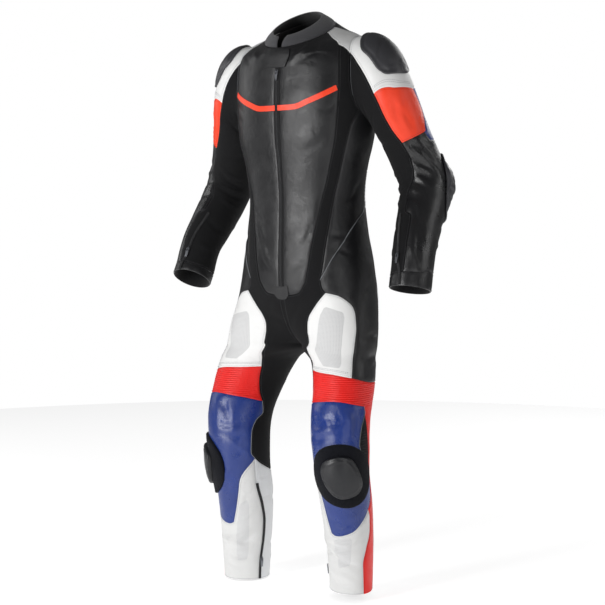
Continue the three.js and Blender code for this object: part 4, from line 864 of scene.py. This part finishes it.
finishes = {
    "blackLeather": leather("satinBlackCowhide", "#1d1d1f", "#101012", 0.37, shine=0.46),
    "glossLeather": leather("polishedBlackCowhide", "#1c1c1e", "#0e0e10", 0.31, shine=0.6, wrinkle=0.9),
    "whiteLeather": leather("satinWhiteCowhide", "#ebebea", "#e2e2e1", 0.48, bump=0.35, wrinkle=1.2),
    "creasedWhite": leather("softWhiteCowhide", "#dcdcdb", "#d0d0cf", 0.45, bump=0.5, wrinkle=1.6),
    "whitePunched": leather("punchedWhiteCowhide", "#d6d6d6", "#cecece", 0.6, holes={"pitch": 3.0, "size": 0.18, "hex": "#b2b3b4"}),
    "paleLeather": leather("greyWhiteCowhide", "#e4e5e6", "#d6d8da", 0.5, bump=0.5, wrinkle=1.6),
    "orangeLeather": leather("fluorescentRedCowhide", "#ff4a27", "#ef3816", 0.38, bump=0.4, wrinkle=1.2),
    "redLeather": leather("brightRedCowhide", "#ee1408", "#d60d04", 0.45),
    "blueLeather": leather("royalBlueCowhide", "#1c3a8a", "#142a68", 0.31, shine=0.58, wrinkle=0.9),
    "stretchCloth": wovenCloth("aramidStretchKnit", "#131315", "#09090a", 1.6, sheen=0.03),
    "collarCloth": wovenCloth("neopreneCollarCloth", "#4b4b4e", "#37373a", 1.2, rough=0.8),
    "liningMesh": wovenCloth("polyesterMeshInside", "#151517", "#08080a", 2.4, rough=0.95),
    "hookAndLoop": wovenCloth("loopPileBlack", "#0b0d16", "#040509", 1.1, rough=0.95, bump=0.8, sheen=0.04),
    "guardShell": moulded("mouldedGuardShell", "#434347", "#2e2e31", 0.4),
    "slider": moulded("castKneeSlider", "#18191e", "#111216", 0.38, grain=1.2),
    "zipTape": wovenCloth("zipTapeBlack", "#151517", "#0b0b0c", 0.9),
    "zipCoil": moulded("nylonZipCoil", "#3a3a3d", "#1c1c1e", 0.35),
    "zipMetal": moulded("gunmetalZipPull", "#8d8f94", "#5c5e63", 0.32, metallic=1.0),
    "threadBlack": moulded("bondedThreadBlack", "#3a3a3d", "#262628", 0.6),
    "threadGrey": moulded("bondedThreadGrey", "#b9bcc0", "#9da0a5", 0.6),
    "threadDark": moulded("bondedThreadDarkGrey", "#85898e", "#6c7075", 0.6),
    "threadBlue": moulded("bondedThreadBlue", "#33509e", "#26407f", 0.6),
    "threadRed": moulded("bondedThreadRed", "#c8241a", "#a51c14", 0.6),
    "pipingGrey": moulded("greyPipingCord", "#8f9296", "#6f7276", 0.5),
}
threadOf = {"blackLeather": "threadBlack", "creasedWhite": "threadGrey", "glossLeather": "threadBlack", "stretchCloth": "threadBlack", "whiteLeather": "threadGrey",
            "paleLeather": "threadGrey", "orangeLeather": "threadRed", "redLeather": "threadRed",
            "blueLeather": "threadBlue"}
print("materials", len(finishes))

sides = (("left", 1), ("right", -1))
seamPaths = {"threadDark": [], "threadBlack": [], "threadGrey": [], "threadBlue": [], "threadRed": []}


def surfaceLine(kind, line, side, lift=0.0):
    """points on the finished cloth, with the way out of it"""
    line = np.asarray(line, float)
    n = outNormal(kind, line[:, 0], line[:, 1], side)
    p = charts[kind]["point"](line[:, 0], line[:, 1], side)
    return p + n * (creaseHeight(kind, line[:, 0], line[:, 1], side) + lift)[:, None], n


def addStitchLoop(kind, outline, side, thread, inset):
    scale = np.array([charts[kind]["around"], charts[kind]["down"]])
    polygon = outline * scale
    ring = insetPoints(polygon, inset)
    good = inside(ring, polygon) & (edgeDistance(ring, polygon) > inset * 0.93)
    run = []
    for k in list(range(len(ring))) + [0]:
        if good[k] and (not run or np.linalg.norm(ring[k] - ring[run[-1]]) < 12):
            run.append(k)
            continue
        if len(run) > 3:
            seamPaths[thread].append(surfaceLine(kind, ring[run] / scale, side, 0.25))
        run = [k] if good[k] else []
    if len(run) > 3:
        seamPaths[thread].append(surfaceLine(kind, ring[run] / scale, side, 0.25))


def smoothLoop(points, scale, spacing, share=0.8):
    p = np.array(points, float)
    for _ in range(2):  # corner cutting keeps an outline round
        q = np.roll(p, -1, axis=0)
        p = np.stack([share * p + (1 - share) * q, (1 - share) * p + share * q], 1).reshape(-1, 2)
    closed = np.concatenate([p, p[:1]])
    length = np.concatenate([[0], np.cumsum(np.linalg.norm(np.diff(closed, axis=0) * scale, axis=1))])
    at = np.linspace(0, length[-1], int(length[-1] / spacing), endpoint=False)
    return np.stack([np.interp(at, length, closed[:, k]) for k in (0, 1)], -1)


# the cut panels
def ribShape(ribs):
    pitch, depth, last = ribs

    def shape(data, away):
        y = data["chart"][:, 1]
        fade = np.clip((last - y) / 5, 0, 1) * np.clip((away - 2.0) / 3, 0, 1)
        return -depth * fade * (0.5 - 0.5 * np.cos(2 * math.pi * y / pitch)) ** 0.8
    return shape


def makePanel(node, spec, pieces, name):
    ribs = spec.get("ribs")
    inlays = None
    if spec.get("inlay"):
        inlays = {side: np.array(perforated[spec["inlay"] + ("Left" if side > 0 else "Right")]) for _, side in sides}
        inlays = {side: smoothLoop(line, [440, 1], 3.6, 0.9) for side, line in inlays.items()}
    outlines = [(kind, outlineOf(kind, text, cloth["edgeStep"], side), side) for kind, text, side in pieces]
    data = sheetData(outlines, cloth["grid"], 6.0 if ribs else 1.0, inlays)
    finishName = spec["finish"]
    materials = [finishes[finishName], finishes["liningMesh"], finishes["whitePunched"]]
    obj = shell(name, data, 0.0, -cloth["thick"], materials, shape=ribShape(ribs) if ribs else None)
    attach(obj, suitBody)
    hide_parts(node)
    for kind, outline, side in outlines:
        addStitchLoop(kind, outline, side, threadOf[finishName], 3.4)
    return obj


def titled(node):
    head, *rest = node.split("_")
    return head + "".join(w.capitalize() for w in rest)


for panelName, spec in panels.items():
    for label, side in sides:
        node = f"{panelName}_{label}"
        makePanel(node, spec, [(kind, text, side) for kind, text in spec["on"]], "cloth" + titled(node)[0].upper() + titled(node)[1:])
for panelName, spec in middlePanels.items():
    pieces = [(kind, text, side) for _, side in sides for kind, text in spec["on"]]
    makePanel(panelName, spec, pieces, "cloth" + titled(panelName)[0].upper() + titled(panelName)[1:])
print("panels done")

# Cuffs, split under the zip
cuffOutline = np.concatenate([
    sampled("arm", armSeams["sleeveFootUnder"], 4.0)[:-1],
    (sampled("arm", armSeams["forearmFoot"], 4.0)[::-1] + [1, 0])[:-1],
    [[1.222, 575], [1.2465, 577.19]],
    sampled("arm", [[1.2465, cuffStation], [0.25, cuffStation]], 4.0)[:-1],
    [[0.25, cuffStation]],
])
for label, side in sides:
    data = sheetData([("arm", cuffOutline, side)], 6.0)
    obj = shell("clothCuff" + label.capitalize(), data, 0.0, -cloth["thick"], [finishes["blackLeather"], finishes["liningMesh"]])
    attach(obj, suitBody)
    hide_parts(f"cuff_{label}")
    addStitchLoop("arm", cuffOutline, side, "threadBlack", 3.4)

# Stand collar with a thicker bound top edge
collarOutline = np.concatenate([
    sampled("collar", [[0.022, 0], [1, 0]], 4.0)[:-1],
    sampled("collar", [[1, 0], [1, 1]], 4.0)[:-1],
    sampled("collar", [[1, 1], [0.075, 1]], 4.0)[:-1],
    sampled("collar", [[0.075, 1], [0.045, 0.8], [0.022, 0]], 4.0)[:-1],
])


def collarShape(data, away):
    v = data["chart"][:, 1] / 34
    return 0.7 * np.exp(-((v - 0.95) / 0.06) ** 2) - 0.6 * np.exp(-((v - 0.84) / 0.04) ** 2)


data = sheetData([("collar", collarOutline, side) for _, side in sides], 5.0)
collar = shell("standCollar", data, 0.0, -3.0, [finishes["collarCloth"], finishes["liningMesh"]], gap=0.2, shape=collarShape)
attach(collar, suitBody)
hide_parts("collar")
print("cuffs and collar done")


# guards: moulded cups, knee pads and sliders
def roundedEdge(away, width):
    t = np.clip(away / width, 0, 1)
    return np.sqrt(np.maximum(1 - (1 - t) ** 2, 0))


guards = {
    "shoulder": {"centre": (0, 68), "reach": 75, "lift": 1.9, "edge": 2.5, "crown": 9},
    "elbow": {"centre": (-0.13, 352), "halfU": 0.125, "halfV": 64, "power": 2.6, "reach": 70, "lift": 1.4, "edge": 4,
              "crown": 14},
    "kneePad": {"left": (0.336, 1104), "right": (0.412, 1108), "halfU": 0.185, "halfV": 77, "power": 2.05, "lift": 1.3,
                "thick": 6},
    "puck": {"halfU": 0.094, "halfV": 50, "power": 2.7, "turn": -0.35, "lift": 8.6, "edge": 5, "crown": 13, "reach": 62},
}
cupOutline = [[0.10, 22], [0.142, 32], [0.146, 60], [0.153, 86], [0.130, 103], [0.07, 106], [0.0, 108],
              [-0.08, 106], [-0.14, 98], [-0.16, 80], [-0.15, 55], [-0.10, 32], [-0.03, 19], [0.04, 18]]


def ovalLine(centre, halfU, halfV, power, count=120):
    a = np.linspace(0, 2 * math.pi, count, endpoint=False)
    c = np.cos(a)
    s = np.sin(a)
    return np.stack([centre[0] + halfU * np.sign(c) * np.abs(c) ** (2 / power),
                     centre[1] + halfV * np.sign(s) * np.abs(s) ** (2 / power)], -1)


def turnedOval(centre, halfAcross, halfDown, power, turn, around=440, count=120):
    a = ovalLine((0, 0), halfAcross, halfDown, power, count)
    x = a[:, 0] * math.cos(turn) - a[:, 1] * math.sin(turn)
    y = a[:, 0] * math.sin(turn) + a[:, 1] * math.cos(turn)
    return np.stack([centre[0] + x / around, centre[1] + y], -1)


def domeHeight(data, kind, side, centre, reach, edge, crown):
    middle = charts[kind]["point"](centre[0], centre[1], side)
    t = np.minimum(np.linalg.norm(data["verts"] - middle, axis=1) / reach, 1)
    return edge + (crown - edge) * (1 - t * t)


def makeGuard(name, node, kind, side, outline, lift, height, material, grid=3.2):
    data = sheetData([(kind, outline, side)], grid, insets=(0.5, 1.2, 2.2))
    data["heights"] *= 0

    def shape(d, away):
        return height(d, away)
    obj = shell(name, data, lift, lift, [material, material], gap=0.0, roll=False, slots=[0] * len(data["tris"]), shape=shape)
    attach(obj, suitBody)
    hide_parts(node)
    return obj


def groove(distance, width, depth):
    return -depth * np.exp(-(distance / width) ** 2)


for label, side in sides:
    g = guards["shoulder"]

    def cupHeight(d, away, g=g, side=side):
        h = domeHeight(d, "arm", side, g["centre"], g["reach"], g["edge"], g["crown"]) * roundedEdge(away, 3.0)
        u = d["chart"][:, 0] / 350
        s = d["chart"][:, 1]
        h += groove(away - 9, 2.0, 2.2)
        crest = np.abs((s - 50) * 0.9 - np.abs(u - 0.01) * 190)
        h += np.where(away > 14, groove(crest, 2.4, 1.8), 0)
        for k in range(4):  # three slots and a half at the foot of the cup
            slotU = (u + 0.075 - 0.05 * k) * 350
            h += np.where(away > 3, -1.6 * np.exp(-(slotU / 4.2) ** 4 - ((s - 93) / 2.6) ** 4), 0)
        return np.maximum(h, 0.3)
    outline = smoothLoop(cupOutline, [350, 1], 3.0)
    makeGuard(f"shoulderCup{label.capitalize()}", f"shoulder_cup_{label}", "arm", side, outline, g["lift"], cupHeight, finishes["guardShell"])
    g = guards["elbow"]

    def elbowHeight(d, away, g=g, side=side):
        h = domeHeight(d, "arm", side, g["centre"], g["reach"], g["edge"], g["crown"]) * roundedEdge(away, 3.5)
        s = d["chart"][:, 1]
        step = 1.0 / (1 + np.exp(-(s - 372) / 1.2)) - 1.0 / (1 + np.exp(-(s - 322) / 1.2))
        h += np.where(away > 5, -1.8 * (1 + step) * np.clip((away - 5) / 3, 0, 1), 0)
        h -= np.clip((away - 1) / 3, 0, 1) * 4.5 / (1 + np.exp(-(s - 360) / 1.1))
        for line in (318, 332, 346, 376, 388):
            h += np.clip((away - 8) / 5, 0, 1) * groove(s - line, 1.5, 1.1)
        return np.maximum(h, 0.3)
    makeGuard(f"elbowCup{label.capitalize()}", f"elbow_cup_{label}", "arm", side,
              ovalLine(g["centre"], g["halfU"], g["halfV"], g["power"]), g["lift"], elbowHeight, finishes["guardShell"])
    g = guards["kneePad"]

    def padHeight(d, away, g=g):
        return g["thick"] * roundedEdge(away, 4.5) - 0.9 * np.exp(-((away - 7) / 1.4) ** 2)
    pad = makeGuard(f"kneePad{label.capitalize()}", f"knee_pad_{label}", "body", side,
                    ovalLine(g[label], g["halfU"], g["halfV"], g["power"], 150), g["lift"], padHeight, finishes["hookAndLoop"], 4.0)
    p = guards["puck"]

    def puckHeight(d, away, p=p, side=side, centre=g[label]):
        h = domeHeight(d, "body", side, centre, p["reach"], p["edge"], p["crown"]) * roundedEdge(away, 4.0)
        return h + groove(away - 7, 1.6, 2.2) - 1.2 / (1 + np.exp(-(away - 12) / 1.0))
    makeGuard(f"kneeSlider{label.capitalize()}", f"knee_puck_{label}", "body", side,
              turnedOval(g[label], p["halfU"] * 440, p["halfV"], p["power"], p["turn"]), p["lift"], puckHeight,
              finishes["slider"])
print("guards done")


# bands that lie on the panels: chest stripes, storm flap, zips
def bandOutline(kind, line, halfWidth, spacing=3.0):
    c = charts[kind]
    at = sampled(kind, line, spacing) * [c["around"], c["down"]]
    along = np.gradient(at, axis=0)
    along /= np.linalg.norm(along, axis=1, keepdims=True)
    across = np.stack([-along[:, 1], along[:, 0]], -1) * halfWidth
    return np.concatenate([at + across, (at - across)[::-1]]) / [c["around"], c["down"]]


def layOn(name, node, kind, pieces, top, low, material, grid=4.0, insets=(0.8,)):
    data = sheetData([(kind, outline, side) for outline, side in pieces], grid, insets=insets)
    obj = shell(name, data, top, low, [material, finishes["liningMesh"]], gap=0.0, roll=False)
    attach(obj, suitBody)
    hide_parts(node)
    return obj


stripeLine = [[0.0030, 247.5], [0.03, 247.5], [0.065, 247], [0.13, 237], [0.278, 211]]
for label, side in sides:
    layOn(f"chestStripe{label.capitalize()}", f"chest_stripe_{label}", "body", [(bandOutline("body", stripeLine, 5.5), side)],
          1.3, 0.4, finishes["orangeLeather"])

flapLeft = [[0, 12], [0.05, 18], [0.094, 27], [0.062, 90], [0.031, 150], [0, 149]]
flapRight = [[0, 12], [0.09, 8], [0.170, 8], [0.11, 80], [0.05, 145], [0, 149]]


def straightLoop(points, scale, spacing):
    p = np.array(points + points[:1], float)
    out = []
    for a, b in zip(p[:-1], p[1:]):
        count = max(1, round(np.linalg.norm((b - a) * scale) / spacing))
        out.extend(a + (b - a) * k / count for k in range(count))
    return np.array(out)


flap = layOn("stormFlap", "storm_flap", "body", [(straightLoop(flapLeft, [440, 1], 3.5), 1), (straightLoop(flapRight, [440, 1], 3.5), -1)],
             3.5, 1.8, finishes["blackLeather"])

zipText = "zipTopEnd zipEdge -zipLowEnd -zipMiddle"
zipEnd = straightLoop([[0, 664], [0.026, 662], [0.028, 684], [0.016, 694], [0, 696]], [440, 1], 3.0)
patchData = sheetData([("body", zipEnd, side) for _, side in sides], 4.0, insets=(0.8,))
patch = shell("zipEndPatch", patchData, 1.5, 0.4, [finishes["blackLeather"], finishes["liningMesh"]], gap=0.0, roll=False)
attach(patch, suitBody)

tapes = [("zipTapeFront", "front_zip", "body", [(outlineOf("body", zipText, 4.0), side) for _, side in sides], -0.5, -2.0)]
cuffZipLine = [[0.309, 443], [0.288, 507], [0.275, 553], [0.252, 578], [0.246, 606]]
calfZipLine = [[0.050, 1150], [0.049, 1160], [0.025, 1204], [0.009, 1249], [0.013, 1294], [0.031, 1349], [0.0375, 1394]]
for label, side in sides:
    tapes.append((f"zipTapeCuff{label.capitalize()}", f"cuff_zip_{label}", "arm", [(bandOutline("arm", cuffZipLine, 4), side)], 1.6, 0.5))
    tapes.append((f"zipTapeCalf{label.capitalize()}", f"calf_zip_{label}", "body", [(bandOutline("body", calfZipLine, 3.8), side)], 1.6, 0.5))
for name, node, kind, pieces, top, low in tapes:
    layOn(name, node, kind, pieces, top, low, finishes["zipTape"])
print("bands done")

# Zip sliders, each with the bridge that its pull tab hangs in
sliderSize = {"width": 9, "height": 12, "depth": 3, "bridgeWidth": 2, "reach": 3.4, "gap": 2.4, "bevel": 0.7}


def frameAt(kind, u, v, side, height):
    n = outNormal(kind, np.array([u]), np.array([v]), side)[0]
    point = charts[kind]["point"]
    up = point(u, v - 3, side) - point(u, min(v + 3, charts[kind]["high"]), side)
    up -= n * (up @ n)
    up /= np.linalg.norm(up)
    across = np.cross(n, up)
    origin = point(u, v, side) + n * height
    return Matrix(((across[0], n[0], up[0], origin[0]), (across[1], n[1], up[1], origin[1]),
                   (across[2], n[2], up[2], origin[2]), (0, 0, 0, 1)))


def prism(profile, low, high, axis):
    """profile of (a, b) points pushed along axis: x for a bridge, y for a plate"""
    verts = []
    for value in (low, high):
        for a, b in profile:
            verts.append((value, a, b) if axis == "x" else (a, value, b))
    n = len(profile)
    faces = [tuple(range(n))[::-1], tuple(range(n, 2 * n))]
    faces += [(k, (k + 1) % n, n + (k + 1) % n, n + k) for k in range(n)]
    return verts, faces


def makeSlider(name, matrix):
    z = sliderSize
    reach = z["depth"] - 1
    parts = [prism([(-4.5, -4.2), (-2.6, -6), (2.6, -6), (4.5, -4.2), (4.0, 4.6), (2.2, 6), (-2.2, 6), (-4.0, 4.6)], 0.2, reach, "y")]
    half = z["bridgeWidth"] / 2
    parts.append(prism([(reach - 0.2, 5), (reach + z["gap"] + 1, 3.8), (reach + z["gap"] + 1, 2.8), (reach - 0.2, 3.4)], -half, half, "x"))
    parts.append(prism([(reach + z["gap"], 3.7), (reach + z["gap"] + 1, 3.7), (reach + z["gap"] + 1, -1.2), (reach + z["gap"], -1.2)], -half * 0.96, half * 0.96, "x"))
    parts.append(prism([(reach - 0.2, -0.4), (reach + z["gap"] + 0.9, -0.4), (reach + z["gap"] + 0.9, -1.2), (reach - 0.2, -2.4)], -half, half, "x"))
    verts, faces = [], []
    for pv, pf in parts:
        faces += [tuple(i + len(verts) for i in f) for f in pf]
        verts += pv
    mesh = bpy.data.meshes.new(name)
    mesh.from_pydata([tuple(matrix @ Vector(v) / 1000) for v in verts], [], faces)
    mesh.materials.append(finishes["zipMetal"])
    obj = bpy.data.objects.new(name, mesh)
    bpy.context.scene.collection.objects.link(obj)
    bpy.context.view_layer.objects.active = obj
    bevel = obj.modifiers.new("roundedCasting", "BEVEL")
    bevel.width = 0.00025
    bevel.segments = 2
    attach(obj, suitBody)
    return obj


makeSlider("sliderFront", frameAt("body", 0, 166, 1, 0))
for label, side in sides:
    makeSlider(f"sliderCuff{label.capitalize()}", frameAt("arm", 0.279, 540, side, 2.0))
    makeSlider(f"sliderCalf{label.capitalize()}", frameAt("body", 0.0285, 1343, side, 2.0))
for node in ("front_pull", "cuff_pull_left", "cuff_pull_right", "calf_pull_left", "calf_pull_right"):
    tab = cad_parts[node]
    tab.data.materials.clear()
    tab.data.materials.append(finishes["zipMetal"])
print("sliders done")


# stitches, zip coils and piping: small pieces set along paths by geometry nodes
def pathTree(name, material):
    """a small block at even steps along each path, its top turned the way out of the cloth"""
    tree = bpy.data.node_groups.new(name, "GeometryNodeTree")
    tree.is_modifier = True
    tree.interface.new_socket(name="Paths", in_out="INPUT", socket_type="NodeSocketGeometry")
    for label, value in (("Pitch", 0.004), ("Length", 0.003), ("Width", 0.0006), ("Height", 0.0005)):
        socket = tree.interface.new_socket(name=label, in_out="INPUT", socket_type="NodeSocketFloat")
        socket.default_value = value
    tree.interface.new_socket(name="Geometry", in_out="OUTPUT", socket_type="NodeSocketGeometry")
    entry = addNode(tree, "NodeGroupInput")
    toCurve = addNode(tree, "GeometryNodeMeshToCurve", links={0: entry.outputs["Paths"]})
    even = addNode(tree, "GeometryNodeResampleCurve", {"mode": "LENGTH"}, {"Curve": toCurve.outputs[0], "Length": entry.outputs["Pitch"]})
    size = addNode(tree, "ShaderNodeCombineXYZ", links={0: entry.outputs["Length"], 1: entry.outputs["Width"], 2: entry.outputs["Height"]})
    block = addNode(tree, "GeometryNodeMeshIcoSphere", {"Subdivisions": 1, "Radius": 0.5})
    block = addNode(tree, "GeometryNodeTransform", links={"Geometry": block.outputs[0], "Scale": size.outputs[0]})
    tangent = addNode(tree, "GeometryNodeInputTangent")
    outward = addNode(tree, "GeometryNodeInputNamedAttribute", {"data_type": "FLOAT_VECTOR", "Name": "wayOut"})
    turned = addNode(tree, "FunctionNodeAlignRotationToVector", {"axis": "X"}, {"Vector": tangent.outputs[0]})
    turned = addNode(tree, "FunctionNodeAlignRotationToVector", {"axis": "Z", "pivot_axis": "X"}, {"Rotation": turned.outputs[0], "Vector": outward.outputs[0]})
    placed = addNode(tree, "GeometryNodeInstanceOnPoints", links={"Points": even.outputs[0], "Instance": block.outputs[0], "Rotation": turned.outputs[0]})
    real = addNode(tree, "GeometryNodeRealizeInstances", links={0: placed.outputs[0]})
    coloured = addNode(tree, "GeometryNodeSetMaterial", {"Material": material}, {0: real.outputs[0]})
    addNode(tree, "NodeGroupOutput", links={0: coloured.outputs[0]})
    return tree


def alongPaths(name, paths, material, sizes):
    verts, edges, out = [], [], []
    for points, normals in paths:
        first = len(verts)
        verts += [tuple(p / 1000) for p in points]
        out += [tuple(n) for n in normals]
        edges += [(first + k, first + k + 1) for k in range(len(points) - 1)]
    mesh = bpy.data.meshes.new(name + "Paths")
    mesh.from_pydata(verts, edges, [])
    attribute = mesh.attributes.new("wayOut", "FLOAT_VECTOR", "POINT")
    attribute.data.foreach_set("vector", np.array(out, dtype=np.float32).ravel())
    carrier = bpy.data.objects.new(name + "Paths", mesh)
    bpy.context.scene.collection.objects.link(carrier)
    modifier = carrier.modifiers.new("setAlongPaths", "NODES")
    modifier.node_group = pathTree(name + "Tree", material)
    for item in modifier.node_group.interface.items_tree:
        if item.in_out == "INPUT" and item.name in sizes:
            modifier[item.identifier] = sizes[item.name]
    bpy.context.view_layer.update()
    depsgraph = bpy.context.evaluated_depsgraph_get()
    result = bpy.data.meshes.new_from_object(carrier.evaluated_get(depsgraph))
    bpy.data.objects.remove(carrier)
    result.name = name
    obj = bpy.data.objects.new(name, result)
    bpy.context.scene.collection.objects.link(obj)
    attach(obj, suitBody)
    return obj


for _, side in sides:  # twin rows that show along the foot of the white panels
    for kind, seam, ups in (("body", "thighFoot", (-8.5, -11.5)), ("arm", "capFootFront", (-8.5, -11.5))):
        seams = bodySeams if kind == "body" else armSeams
        for up in ups:
            line = sampled(kind, seams[seam], 3.0)[3:-3] + [0, up]
            seamPaths["threadDark"].append(surfaceLine(kind, line, side, 0.35))
for _, side in sides:  # the pale armhole seam that shows on the black knit
    loop = np.stack([np.linspace(0.175, 0.33, 60), np.full(60, 3.0)], -1)
    seamPaths["threadDark"].append(surfaceLine("arm", loop, side, 0.3))
stitchSize = {"Pitch": 0.0046, "Length": 0.0037, "Width": 0.0010, "Height": 0.0008}
for thread, paths in seamPaths.items():
    if paths:
        piece = alongPaths("stitches" + thread[6:], paths, finishes[thread], stitchSize)
        print(thread, len(piece.data.polygons))

coil = {"Pitch": 0.0024, "Length": 0.0013, "Width": 0.0030, "Height": 0.0014}
coilPaths = []
zipCentre = sampled("body", [[0, 172], [0, 684]], 3.0)
for offset in (-1.35, 1.35):
    p, n = surfaceLine("body", zipCentre, 1, 0.0)
    coilPaths.append((p + np.array([offset, 0, 0]) + n * (-0.1), n))
for label, side in sides:
    for kind, line, last in (("arm", cuffZipLine, 0), ("body", calfZipLine, 0)):
        p, n = surfaceLine(kind, sampled(kind, line, 3.0), side, 1.9)
        along = np.gradient(p, axis=0)
        across = np.cross(n, along)
        across /= np.linalg.norm(across, axis=1, keepdims=True)
        for offset in (-1.35, 1.35):
            coilPaths.append((p + across * offset, n))
alongPaths("zipCoils", coilPaths, finishes["zipCoil"], coil)

# Grey piping over the hip seam
pipeSize = {"Pitch": 0.0016, "Length": 0.0026, "Width": 0.0016, "Height": 0.0016}
pipePaths = [surfaceLine("body", sampled("body", bodySeams["piping"], 3.0), side, 0.3) for _, side in sides]
for _, side in sides:
    for seam in ("kneeIn", "kneeSideFront"):
        pipePaths.append(surfaceLine("body", sampled("body", bodySeams[seam], 3.0), side, 0.1))
alongPaths("hipPiping", pipePaths, finishes["pipingGrey"], pipeSize)
print("paths done")


# studio: pale floor, large soft lights
def paleFloor():
    material, tree = newMaterial("paleStudioFloor")
    shader = addNode(tree, "ShaderNodeBsdfPrincipled", {"Base Color": linear("#dcdcdc"), "Roughness": 0.8,
                                                        "Emission Color": (1, 1, 1, 1), "Emission Strength": 0.7})
    addNode(tree, "ShaderNodeOutputMaterial", links={"Surface": shader.outputs[0]})
    z = cadBox[0][2] - 0.004
    mesh = bpy.data.meshes.new("studioFloor")
    angles = [2 * math.pi * k / 96 for k in range(96)]
    mesh.from_pydata([(3.5 * math.cos(a), 3.5 * math.sin(a), z) for a in angles], [], [range(96)])
    mesh.materials.append(material)
    floor = bpy.data.objects.new("studioFloor", mesh)
    bpy.context.scene.collection.objects.link(floor)


def softLight(name, place, target, size, power):
    data = bpy.data.lights.new(name, "AREA")
    data.shape = "RECTANGLE"
    data.size = size[0]
    data.size_y = size[1]
    data.energy = power
    light = bpy.data.objects.new(name, data)
    aim = Vector(target) - Vector(place)
    light.matrix_world = Matrix.Translation(place) @ aim.to_track_quat("-Z", "Y").to_matrix().to_4x4()
    bpy.context.scene.collection.objects.link(light)


paleFloor()
softLight("keyLight", (-0.7, -3.1, -0.2), (0, 0, -0.55), (0.8, 1.5), 64)
softLight("frontFill", (2.9, -2.2, -0.3), (0, 0, -0.8), (0.9, 1.8), 14)
softLight("sideLightLeft", (3.3, 1.2, 0.5), (0, 0, -0.6), (0.8, 2.0), 16)
softLight("sideLightRight", (-3.2, -0.6, 0.5), (0, 0, -0.6), (0.8, 2.0), 16)
softLight("backLight", (0.2, 3.4, 1.2), (0, 0, -0.5), (2.0, 1.8), 30)
world = bpy.data.worlds.new("studioWorld")
bpy.context.scene.world = world
world.use_nodes = True
seen = addNode(world.node_tree, "ShaderNodeLightPath")  # a white backdrop that doesn't wash out the black
level = addNode(world.node_tree, "ShaderNodeMapRange", {3: 0.13, 4: 1.0}, {0: seen.outputs["Is Camera Ray"]})
world.node_tree.links.new(level.outputs[0], world.node_tree.nodes["Background"].inputs[1])
world.node_tree.nodes["Background"].inputs[0].default_value = (1, 1, 1, 1)
bpy.context.scene.view_settings.view_transform = "Standard"
